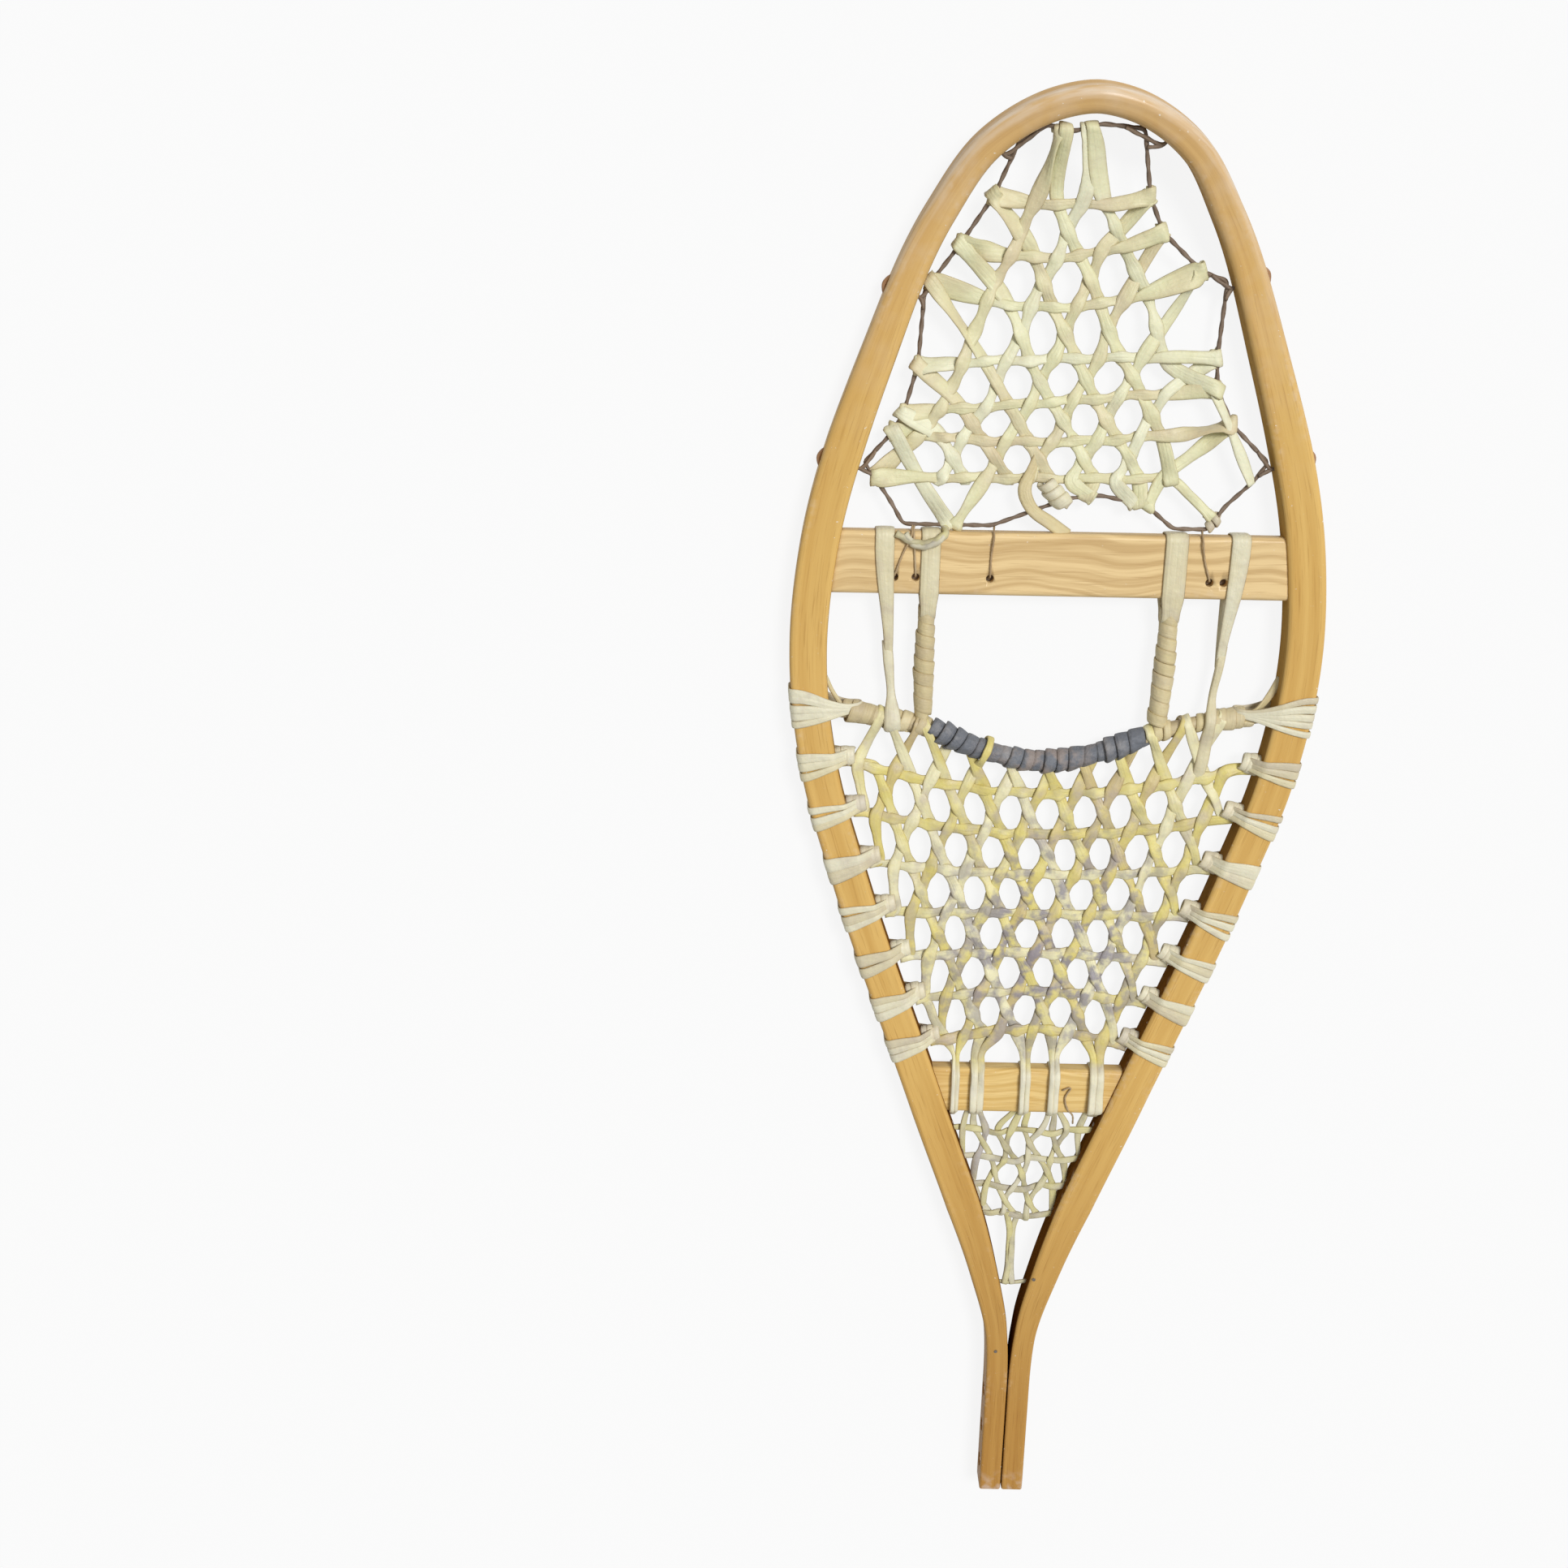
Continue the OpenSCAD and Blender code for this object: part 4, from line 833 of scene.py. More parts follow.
class Net:
    """Rows between left and right eyes, with crossings half a pitch apart along each row."""

    def __init__(self, left, right, sag, pitch, shift, margin=0.0):
        self.left, self.right, self.sag = np.array(left), np.array(right), np.array(sag)
        self.pitch, self.shift = pitch, shift
        self.rows = len(self.left)
        self.bounds = np.stack([self.left[:, 0] + margin, self.right[:, 0] - margin], 1)

    def row_y(self, i, x):
        """Height along the shoe of row i at x: a straight line between its eyes, less a parabola of sag."""
        t = (x - self.left[i, 0]) / (self.right[i, 0] - self.left[i, 0])
        return self.left[i, 1] + (self.right[i, 1] - self.left[i, 1]) * t - self.sag[i] * 4 * t * (1 - t)

    def crossing_x(self, i, lean, k):
        """Where strand k of one lean crosses row i."""
        return self.shift + ROW_DRIFT * i + (lean * i + 2 * k + (0 if lean > 0 else 1)) * self.pitch / 2

    def inside(self, i, x):
        """True where x lies between the outermost leaning strands of row i."""
        return self.bounds[i, 0] < x < self.bounds[i, 1]

    def row(self, i):
        """Places (x, y) of row i's crossings, from left to right, and the lean of the strand at each."""
        found = [(self.crossing_x(i, lean, k), lean) for lean in (-1, 1) for k in STRANDS]
        found = sorted(f for f in found if self.inside(i, f[0]))
        return np.array([(x, self.row_y(i, x)) for x, _ in found]), np.array([lean for _, lean in found])

    def strand(self, lean, k):
        """Rows and places that strand k crosses, in order from the toe."""
        found = [(i, self.crossing_x(i, lean, k)) for i in range(self.rows)]
        return [(i, np.array([x, self.row_y(i, x)])) for i, x in found if self.inside(i, x)]

    def next_eye(self, i, x, lean, first):
        """Eye of the row before or after row i, where a strand leaves the net, or None at the net's end."""
        beyond = i - 1 if first else i + 1
        if not 0 <= beyond < self.rows:
            return None
        there = x + (beyond - i) * (ROW_DRIFT + lean * self.pitch / 2)
        left = there < (self.left[beyond, 0] + self.right[beyond, 0]) / 2
        return (self.left if left else self.right)[beyond]


# %% Weaving
WAIST, CROSSING = 0.76, 1.06
# Slow waves across and along the shoe: turn per mm of x, turn per mm of y, start and share
WAVES = ((0.06, 0.15, 0.4, 1.0), (0.19, 0.07, 1.2, 0.87))


def wander(points, size):
    """Lace points moved by two slow waves, so that a worn net is uneven but its laces still meet."""
    moved = points.copy()
    x, y = points[:, 0], points[:, 1]
    free = size * (1 - np.clip(np.abs(x) / inner_x(y), 0, 1) ** 3)
    for axis, (per_x, per_y, start, share) in enumerate(WAVES):
        moved[:, axis] += share * free * np.sin(per_x * x + per_y * y + start)
    return moved


def waisted(points):
    """Lace points with one more in each gap, where the lace is drawn narrower than at its crossings."""
    between = (points[1:] + points[:-1]) / 2
    between[:, 6] *= WAIST
    return np.insert(points, np.arange(1, len(points)), between, axis=0)


def woven(xy, lean, swing):
    """Lace points of a leaning strand: under or over each row, and the other way between two rows."""
    gaps = np.arange(1, len(xy))
    middle = (xy[1:] + xy[:-1]) / 2
    height = np.insert(np.full(len(xy), -lean * swing), gaps, lean * swing)
    return waisted(net_points(np.insert(xy, gaps, middle, axis=0), height, CROSSING))


def row_points(net, i, swing, tuck=0.0, share=1.0):
    """Lace points of row i: over and under the strands, and at each end a tuck beyond its eye."""
    xy, leans = net.row(i)
    xy = np.vstack([net.left[i] - [tuck, 0], xy, net.right[i] + [tuck, 0]])
    return net_points(xy, np.concatenate([[0.0], leans * swing, [0.0]]), share)


def strand_laces(net, end, width, thick, twist, swing, size, ends_wander=False):
    """Laces of all leaning strands: the woven part of each, between the two ends that a function gives."""
    grids = []
    for lean in (-1, 1):
        for places in filter(None, [net.strand(lean, k) for k in STRANDS]):
            points = woven(np.array([xy for _, xy in places]), lean, swing)
            head = end(*places[0], lean, True)[::-1]
            foot = end(*places[-1], lean, False)
            if ends_wander:
                points = wander(np.vstack([head, points, foot]), size)
            else:
                points = np.vstack([head, wander(points, size), foot])
            grids.append(lace(points, width, thick, twist))
    return grids


print("a lace narrows to", WAIST, "of its width between crossings")

# %% [markdown]
# ## Toe selvage and toe net
# A thin dark cord runs round the toe opening and passes through the frame at six places. The pale toe net is
# hung on that cord: each row folds over it at an eye, and each leaning strand ends at an eye or hooks on.

# %% Selvage route
ROWS_UP = np.array([175.5, 148.5, 122.5, 95.5, 72.5, 50.5, 30])
LEFT_INSET, LEFT_UP = [13.5, 10.5, 4, 13.5, 15, 13, 11], np.array([4, 6, 12, -5, -8, 4, -1])
RIGHT_INSET, RIGHT_UP = [28, 29, 15, 18, 22, 18, 12], np.array([5, 14, 20, 2, 8, 11, 1])
ANCHOR_SEAT = 2.4
toe_inner_y = TOE_Y - TOE_W / 2 / np.cos(tip_tilt)
toe_left = [inset_point(-1, y, inset) for y, inset in zip(FRONT_EDGE + ROWS_UP + LEFT_UP, LEFT_INSET)]
toe_right = [inset_point(1, y, inset) for y, inset in zip(FRONT_EDGE + ROWS_UP + RIGHT_UP, RIGHT_INSET)]
ANCHORS = [(-1, toe_inner_y - 14), (-1, FRONT_EDGE + 130), (-1, FRONT_EDGE + 37),
           (1, toe_inner_y - 7), (1, FRONT_EDGE + 138), (1, FRONT_EDGE + 41)]
anchor_at = [inset_point(side, y, ANCHOR_SEAT) for side, y in ANCHORS]
bar_seat = FRONT_EDGE + 3.25
selvage_corners = np.array(
    [anchor_at[0], *toe_left[:3], anchor_at[1], *toe_left[3:6], anchor_at[2], toe_left[6]]
    + [[-97, bar_seat + 12], [-90, bar_seat], [-40, bar_seat], [-14, bar_seat + 10], [2, bar_seat + 16]]
    + [[20, bar_seat + 18], [46, bar_seat + 13], [62, bar_seat], [82, bar_seat], [90, bar_seat + 13]]
    + [toe_right[6], anchor_at[5], *toe_right[5:2:-1], anchor_at[4], *toe_right[2::-1], anchor_at[3]]
    + [[4, toe_inner_y - 5], [-10, toe_inner_y - 9], [-24, toe_inner_y - 6]])
print("selvage with", len(selvage_corners), "corners and", len(ANCHORS), "anchors")

# %% Selvage cord
SELVAGE_R, SELVAGE_LAY, SELVAGE_DEPTH, SELVAGE_STEP, SOFTENINGS = 1.15, 9.0, 0.16, 1.5, 3


def rounded_loop(corners):
    """Closed polyline with its corners softened by repeated averaging of neighbours."""
    loop = even(np.vstack([corners, corners[:1]]), SELVAGE_STEP, 2)[:-1]
    for _ in range(SOFTENINGS):
        loop = (np.roll(loop, 1, 0) + 2 * loop + np.roll(loop, -1, 0)) / 4
    return loop


selvage = rounded_loop(selvage_corners)
selvage_far = distance_along(selvage)
lay = selvage_far[-1] / round(selvage_far[-1] / SELVAGE_LAY)
section = twisted(SELVAGE_R, selvage_far, lay, SELVAGE_DEPTH)
selvage_grid = sweep(lifted(selvage), up_at(selvage[:, 1]), section, True)
make_piece("selvage_cord_twist", [selvage_grid], dark_cord, ["toe_selvage_cord"], closed=True)

# %% Selvage anchors
CORD_STEP, CORD_CURVE, SKEW_UP = 1.2, 8, [0.13, 0.21, 0.97]
ANCHOR_R, ANCHOR_RISE, ANCHOR_REACHES = 1.1, 1.6, (-9, 10)
BUMP_R, BUMP_BELOW_BEND, WRONG_WAY = 1.3, 0.6, 60.0
BUMP = ((-4.5, -3), (-4.3, -0.6), (-2.2, 0.7), (2.2, 0.7), (4.3, -0.6), (4.5, -3))


def frame_axes(side, y):
    """Middle point of the strip at y on one side, with its outward, along and up directions."""
    a = side_angle(y)
    tilt = bend_tilt(y)
    out = np.array([side * np.cos(a), -np.sin(a) * np.cos(tilt), -np.sin(a) * np.sin(tilt)])
    up = up_at(y)
    return lifted([side * mid_x(y), y]), out, np.cross(up, out) * side, up


def round_cord(points, radius, lay=7.0):
    """Twisted cord of one radius along a smooth path."""
    path = even(smooth(points, CORD_CURVE), CORD_STEP)
    tangent = unit(np.gradient(path, axis=0))
    facing = np.cross(tangent, np.cross(np.broadcast_to(SKEW_UP, path.shape), tangent))
    return sweep(path, facing, twisted(radius, distance_along(path), lay))


def selvage_near(seat, reach):
    """Point of the selvage about that far from a seat, towards the toe for a positive reach."""
    miss = np.abs(np.linalg.norm(selvage - seat, axis=1) - abs(reach))
    return lifted(selvage[np.argmin(miss + WRONG_WAY * ((selvage[:, 1] - seat[1]) * reach < 0))])


anchor_grids, bump_grids = [], []
for (side, y), seat in zip(ANCHORS, anchor_at):
    middle, out, along, up = frame_axes(side, y)
    half = strip_w(y) / 2
    lift = up * ANCHOR_RISE
    if y < BEND_Y + TOE_BEND * BUMP_BELOW_BEND:
        bump = [middle + out * (half + proud) + along * s for s, proud in BUMP]
        bump_grids.append(round_cord(bump, BUMP_R))
    for reach in ANCHOR_REACHES:
        near = selvage_near(seat, reach)
        anchor_grids.append(round_cord([
            middle - out * (half - 3), middle - out * (half + 1) + lift * 0.6,
            (middle - out * (half + 2.6) + near) / 2 + lift, near + lift * 0.9], ANCHOR_R))
make_piece("selvage_anchor_cords", anchor_grids, dark_cord, ["selvage_anchors"])
make_piece("selvage_anchor_bumps", bump_grids, bump_cord)

# %% Toe net layout
TOE_LACE_W, TOE_ROW_W, TOE_LACE_T, TOE_SWING, TOE_WANDER = 7.5, 6.3, 1.7, 0.95, 0.7
TOE_PITCH, TOE_SHIFT = 24.5, -14.5
LAST_BEND = np.array([[58.0, FRONT_EDGE + 31], [70.0, FRONT_EDGE + 22]])
LAST_EYE = np.array([82.0, FRONT_EDGE + 11])
toe_net = Net(toe_left, toe_right[:-1] + [LAST_BEND[0]], (LEFT_UP + RIGHT_UP) / 2, TOE_PITCH, TOE_SHIFT)
rows, quarter = np.arange(toe_net.rows), TOE_PITCH / 4
leftmost = toe_net.crossing_x(rows, -1, -1) - quarter + 2 * quarter * (rows == rows[-1])
rightmost = np.minimum(toe_net.crossing_x(rows, 1, 1) + quarter, LAST_BEND[0, 0])
toe_net.bounds = np.stack([leftmost, rightmost], 1)
print("toe net", toe_net.rows, "rows")

# %% Toe net
EYE_R = SELVAGE_R + TOE_LACE_T / 2 + 0.1
OUTER_EYE_R, INNER_EYE_R = EYE_R + TOE_LACE_T * 0.8, EYE_R - 0.7
ROW_FLARE, END_FLARE, TUCK_FLARE, LOOP_FLARE = 1.7, 1.15, 1.5, 0.95
FOLD, TUCKED = np.array([115, 75, 30, -20, -65, -115, -150]), np.array([-115, -85, -50])
FOLD_XS, TUCKS, FOLD_LEAN = np.array([-62.0, 12.7, 35.2, 44.0]), ((-75.0, -50.0), (-40.0, 0.0)), 2.0
TOP_LOOPS, TOP_LEAN = np.array([[-16, toe_inner_y - 8.5], [-2, toe_inner_y - 7.5]]), 1.6
lower_selvage = selvage[selvage[:, 1] < FRONT_EDGE + 24]


def toe_row(i):
    """A row: folded over the selvage at each eye, and swinging over and under the strands between."""
    xy, leans = toe_net.row(i)
    points = wander(waisted(net_points(xy, leans * TOE_SWING, CROSSING)), TOE_WANDER)
    head = hook(toe_net.left[i], toe_net.left[i] - xy[0], EYE_R, FOLD, ROW_FLARE)[::-1]
    foot = hook(toe_net.right[i], toe_net.right[i] - xy[-1], EYE_R, FOLD, ROW_FLARE)
    if i == toe_net.rows - 1:
        fold = hook(LAST_EYE, LAST_EYE - LAST_BEND[1], EYE_R, FOLD, 1.0)
        foot = np.vstack([net_points(LAST_BEND, [0.0, 0.0]), fold])
    return lace(np.vstack([head, points, foot]), TOE_ROW_W, TOE_LACE_T, twist=0.2)


def toe_end(i, near, lean, first):
    """Lace points of a leaning strand's end: at an eye, under the last row, or folded over the selvage."""
    eye = toe_net.next_eye(i, near[0], lean, first)
    if eye is not None:
        if lean > 0 or eye[0] == LAST_BEND[0, 0]:
            return hook(eye, eye - near, OUTER_EYE_R, FOLD, END_FLARE)
        tucked = hook(eye, eye - near, INNER_EYE_R, TUCKED, TUCK_FLARE)
        tucked[:, 3:6] *= -1
        return np.vstack([net_points([near + (eye - near) * 0.4], [-1.2]), tucked])
    if first:
        loop = TOP_LOOPS[int(near[0] > TOP_LOOPS[:, 0].mean())]
        radius = OUTER_EYE_R if lean > 0 else EYE_R
        return hook(loop + [TOP_LEAN * lean, 0], loop - near, radius, FOLD, LOOP_FLARE)
    if any(low < near[0] < high for low, high in TUCKS):
        return net_points([near + [lean * 2.0, -2.4], near + [lean * 3.0, -0.6]], [-1.3, -1.8], share=0.8)
    x = FOLD_XS[np.argmin(np.abs(FOLD_XS - near[0]))] - FOLD_LEAN * lean
    at = lower_selvage[np.argmin(np.abs(lower_selvage[:, 0] - x))]
    return hook(at, at - near, EYE_R, FOLD, END_FLARE)


toe_grids = [toe_row(i) for i in range(toe_net.rows)]
toe_grids += strand_laces(toe_net, toe_end, TOE_LACE_W, TOE_LACE_T, twist=0.22, swing=TOE_SWING,
                          size=TOE_WANDER)
side_run = np.array([toe_right[4], toe_right[5], (toe_right[5] + toe_right[6]) / 2, toe_right[6]])
side_points = net_points(side_run + [-1.5, -2.0], [2.0, 2.8, 2.6, 1.6])
toe_grids.append(lace(side_points, width=6.6, thick=TOE_LACE_T, twist=0.5))
make_piece("toe_net_laces", toe_grids, pale_hide, ["toe_lacing"])

# %% [markdown]
# ## Windings
# A ribbon wound round a cord is a helix: the angle grows evenly along the cord while the radius stays. Each
# turn leans a little over the one before it, as hand winding does, and both ends dip under the other turns.
# A screw modifier makes even turns on a straight axis only, so the helix is worked out along any line.

# %% Winding helper
RINGS_PER_TURN, DIP, DIP_TURNS, TURN_UNEVEN, WOUND_SKEW = 28, 0.8, 0.6, 0.10, [0.05, 0.03, 1.0]


def winding(axis, turns, radius, width, thick, start, lean=0.14, uneven=0.25, flat=1.0, taper=0.0):
    """Ribbon wound round a line: the line plus a radius turned by an even angle, lower if flattened."""
    line = even(axis, distance_along(axis)[-1] / int(turns * RINGS_PER_TURN))
    tangent = unit(np.gradient(line, axis=0))
    first = unit(np.cross(tangent, np.broadcast_to(WOUND_SKEW, line.shape)))
    second = np.cross(first, tangent)
    t = np.linspace(0, 1, len(line))
    each = np.arange(int(turns) + 2)
    wobble = np.interp(t * turns, each, rng.normal(0, 1, len(each)))
    a = (start + turns * 2 * np.pi * t + uneven * wobble)[:, None]
    tuck = np.minimum(np.minimum(t, 1 - t) * turns / DIP_TURNS, 1) - 1
    r = (radius + taper * t + uneven * wobble + DIP * tuck)[:, None]
    out = first * np.cos(a) + second * np.sin(a) * flat
    facing = unit(first * np.cos(a) * flat + second * np.sin(a))
    facing = facing + tangent * (lean * (1 + uneven * wobble))[:, None]
    wide = width * (1 + TURN_UNEVEN * np.interp(t * turns, each, rng.normal(0, 1, len(each))))
    return sweep(line + r * out, facing, ribbon(wide, thick))


print("a winding has", RINGS_PER_TURN, "rings in a turn")

# %% [markdown]
# ## Toe cord and its windings
# The thick cord across the back of the toe hole carries the boot's weight. It is lashed to the frame at both
# ends, bound in slate grey ribbon where the boot pivots, and held to the crossbar by two wound side cords.

# %% Toe cord line
LASHING_Y, CORD_R, CORD_SUNK, CORD_SHORT = 99.0, 4.6, 1.45, 5.0
cord_end_x = inner_x(LASHING_Y) + CORD_SUNK
cord_points = np.array([
    [-cord_end_x, LASHING_Y], [-102, 94], [-73, 88], [-40, 75], [-4, 68], [30, 74], [63, 87], [98, 95],
    [cord_end_x, LASHING_Y]])
cord_line = smooth(cord_points, 12)


def cord_y(x):
    """Place along the shoe of the toe cord at x."""
    return np.interp(x, cord_line[:, 0], cord_line[:, 1])


def cord_path(x_from, x_to, count=60):
    """Points of the toe cord's middle between two places across the shoe."""
    x = np.linspace(x_from, x_to, count)
    return lifted(np.stack([x, cord_y(x)], 1))


print("toe cord from", round(-cord_end_x, 1), "to", round(cord_end_x, 1))

# %% Toe cord
ROPE_LAY, ROPE_DEPTH, ROPE_SIDES, ROPE_STEP, TURN_T, STRAY_T = 46.0, 0.07, 20, 1.5, 1.8, 1.6
# Short windings on the cord: from x, to x, turns, ribbon width, and how proud of the cord they lie
CORD_TURNS = ((-110, -99, 2.4, 5.6, 0.5), (-97, -80, 2.6, 7.4, 1.0), (-78, -68, 1.6, 6.4, 0.8),
              (60, 72, 2.4, 5.6, 0.6), (85, 96, 2.2, 5.4, 0.3), (102, 112, 2.2, 5.4, 0.3))
# Stray laces from the frame onto the cord: side, place along the frame and width
STRAYS = ((-1, 117.0, 2.6), (1, 121.0, 5.0))
STRAY_OUT, STRAY_DOWN, STRAY_UP = np.array([1, -4, -13, -22]), np.array([0, 10, 20, 23]), [0.0, 0.5, 2.6, 1.2]
SLATE_FROM, SLATE_TO = -67.0, 57.0

path = even(cord_path(CORD_SHORT - cord_end_x, cord_end_x - CORD_SHORT, 200), ROPE_STEP)
section = twisted(CORD_R, distance_along(path), ROPE_LAY, ROPE_DEPTH, ROPE_SIDES)
rope_grids = [sweep(path, np.broadcast_to([0, 0, 1.0], path.shape), section)]
for x_from, x_to, turns, wide, proud in CORD_TURNS:
    start = rng.random() * 6
    rope_grids.append(winding(cord_path(x_from, x_to), turns, CORD_R + proud, wide, TURN_T, start))
for side, y, wide in STRAYS:
    stray = np.stack([side * (inner_x(y) + STRAY_OUT), y - STRAY_DOWN], 1)
    rope_grids.append(lace(net_points(stray, STRAY_UP), wide, STRAY_T, twist=0.3))
make_piece("toe_cord_rope", rope_grids, cord_hide, ["toe_cord"])
slate_grid = winding(cord_path(SLATE_FROM, SLATE_TO, 200), turns=18, radius=CORD_R + 1.0, width=9.4,
                     thick=2.0, start=1.0, lean=0.2, uneven=0.6)
make_piece("toe_cord_slate_winding", [slate_grid], slate_hide, ["toe_cord_wrap"])

# %% [markdown]
# ## Loops round wood
# Frame wraps, lashings and crossbar loops are one shape: a ribbon that goes round a wooden bar and is drawn
# together beside it. Seen along the bar it is a tight loop of arcs and tangents round the wood's rounded
# corners and round the neck. Several ribbons side by side spread on the wood and meet at the neck.

# %% Loop helpers
RIBBON_T, LOOP_STEP = 1.3, 1.3


def teardrop(width, height, corner, out, reach, neck):
    """Loop (a, b, facing a, facing b) round a bar's section and a neck at a = -(half width + reach)."""
    r = corner + out
    cx, cy = width / 2 - corner, height / 2 - corner
    pull = np.array([-(width / 2 + reach), 0.0])
    way = np.array([-cx, cy]) - pull
    meet = np.arctan2(way[1], way[0]) + np.arccos((neck - r) / np.hypot(*way))
    arcs = [(pull, neck, np.linspace(np.pi, meet, 6)), ((-cx, cy), r, np.linspace(meet, np.pi / 2, 4)),
            ((cx, cy), r, np.linspace(np.pi / 2, 0, 7)), ((cx, -cy), r, np.linspace(0, -np.pi / 2, 7)),
            ((-cx, -cy), r, np.linspace(-np.pi / 2, -meet, 4)), (pull, neck, np.linspace(-meet, -np.pi, 6))]
    facing = [np.stack([np.cos(a), np.sin(a)], 1) for _, _, a in arcs]
    places = [np.array(centre) + size * f for (centre, size, _), f in zip(arcs, facing)]
    return even(np.hstack([np.vstack(places), np.vstack(facing)]), LOOP_STEP, 2)[:-1]


def loop_ribbon(loop, axes, spread, at_neck, neck_a, wood_a, width, pinch):
    """A ribbon on a loop: its place along the bar goes from the neck's to the wood's as a goes outward."""
    origin, out, along, up = axes
    a, b, facing_a, facing_b = loop.T[..., None]
    share = np.clip((a - neck_a) / (wood_a - neck_a), 0, 1)
    share = share * share * (3 - 2 * share)
    path = origin + a * out + b * up + (at_neck + (spread - at_neck) * share) * along
    section = ribbon(width * (pinch + (1 - pinch) * share[:, 0]), RIBBON_T)
    return sweep(path, facing_a * out + facing_b * up, section, True)


print("a loop's ribbon is", RIBBON_T, "thick")

# %% Loops round the frame and round a crossbar
LOOP_CLEAR, LOOP_SETTLE, LOOP_UNEVEN, FRAME_PINCH = 0.15, 0.15, 0.09, 0.62
LOOP_OUT = LOOP_CLEAR + RIBBON_T / 2
FRONT_BAR, REAR_BAR = (FRONT_BACK, FRONT_EDGE), (REAR_BACK, REAR_EDGE)


def frame_loops(side, y, count, pitch, width, reach, neck, neck_pitch, loose, slant=0.0, neck_slant=0.0):
    """Ribbons round the frame at y on one side, narrowing across it to a neck inside."""
    strip = strip_w(y)
    grids = []
    for k in np.arange(count) - (count - 1) / 2:
        loop = teardrop(strip, STRIP_H, EDGE_R, LOOP_OUT - LOOP_SETTLE * rng.random(), reach, neck)
        spread = k * pitch + rng.normal(0, loose) + slant
        wide = width * (1 + rng.normal(0, LOOP_UNEVEN))
        grids.append(loop_ribbon(loop, frame_axes(side, y), spread, k * neck_pitch + neck_slant,
                                 -(strip / 2 + reach), strip / 2, wide, FRAME_PINCH))
    return grids


def bar_loop(x, bar, width, reach, neck, at_neck=0.0, pinch=0.72, narrow_from=-1.0):
    """Ribbon round a crossbar (its back and front edge) at x, drawn to a neck behind the bar."""
    half = (bar[1] - bar[0]) / 2
    axes = np.array([[x, (bar[0] + bar[1]) / 2, MID_Z], [0, 1, 0], [1, 0, 0], [0, 0, 1]])
    loop = teardrop(2 * half, BAR_H, BAR_ROUND, LOOP_OUT, reach, neck)
    return loop_ribbon(loop, axes, 0.0, at_neck, -(half + reach), narrow_from * half + 2, width, pinch)


print("the loops' middle lies", LOOP_OUT, "off the wood")

# %% Lashings of the toe cord
FAN_REACH = {-1: 14.0, 1: 18.0}
for side, word in SIDES:
    neck_x = side * (inner_x(LASHING_Y) - FAN_REACH[side])
    grids = frame_loops(side, LASHING_Y, count=5, pitch=4.9, width=4.6, reach=FAN_REACH[side],
                        neck=CORD_R + 0.2, neck_pitch=0.8, loose=0.7, slant=2.0,
                        neck_slant=cord_y(neck_x) - LASHING_Y)
    make_piece(word + "_lashing_ribbons", grids, wrap_hide, [word + "_toe_cord_lashing"],
               closed=True)
    bound = cord_path(neck_x + side * 3.0, neck_x - side * 15.0)
    tie = winding(bound, turns=3.2, radius=CORD_R + 1.3, width=8.0, thick=1.5, start=2.0, lean=0.1,
                  uneven=0.4, taper=-0.6)
    make_piece(word + "_lashing_ties", [tie], cord_hide)

# %% [markdown]
# ## Frame wraps, hitches and the body net
# Every row of the body net starts at a wrap of two or three turns round the frame. The turns are drawn to a
# neck inside the frame and bound there by a hitch, and the row and its strands leave from that hitch.

# %% Frame wraps and hitches
BODY_ROWS, HITCH_TOP, HITCH_STEP = 7, 67.0, 29.3
HITCH_DROP = np.array([1.0, 3.0, 6.0, 8.0, 8.0, 7.0, 6.0])
WRAP_COUNTS = {-1: (3, 3, 2, 3, 2, 3, 3), 1: (3, 3, 2, 3, 3, 2, 3)}
WRAP_SPAN, NECK_SPAN, HITCH_FROM, HITCH_TO = 15.6, 8.0, -0.2, 9.6
hitch_ys = HITCH_TOP - HITCH_STEP * np.arange(BODY_ROWS) - HITCH_DROP
for side, word in SIDES:
    wraps, ties = [], []
    for y, count in zip(hitch_ys, WRAP_COUNTS[side]):
        pitch = (WRAP_SPAN + rng.normal(0, 1.0)) / count
        wraps += frame_loops(side, y, count, pitch, width=pitch * 1.02, reach=6.5, neck=2.2,
                             neck_pitch=NECK_SPAN / count, loose=0.6)
        middle, out, _, _ = frame_axes(side, y)
        inner = strip_w(y) / 2
        axis = np.linspace(middle - out * (inner + HITCH_FROM), middle - out * (inner + HITCH_TO), 12)
        ties.append(winding(axis, turns=2.8, radius=NECK_SPAN / 2 + 1.8, width=4.8, thick=1.6,
                            start=4.0 + rng.random(), uneven=0.3, flat=0.75, taper=-0.9))
    make_piece(word + "_wrap_ribbons", wraps, wrap_hide, [word + "_frame_wraps"], closed=True)
    make_piece(word + "_hitch_windings", ties, hitch_hide, [word + "_hitches"])

# %% Body net layout
BODY_LACE_W, BODY_LACE_T, BODY_SWING, BODY_WANDER = 7.3, 1.8, 1.0, 0.6
BODY_PITCH, BODY_SHIFT, BODY_MARGIN, BODY_INSET, IN_HITCH = 21.5, 7.3, 3.6, 8.5, 5.0
MIDDLE_TOP, MIDDLE_STEP = 48.0, 25.5
body_left, body_right = [[inset_point(side, y, BODY_INSET) for y in hitch_ys] for side, _ in SIDES]
body_sag = hitch_ys - (MIDDLE_TOP - MIDDLE_STEP * np.arange(BODY_ROWS))
body_net = Net(body_left, body_right, body_sag, BODY_PITCH, BODY_SHIFT, BODY_MARGIN)
print("body net", body_net.rows, "rows")

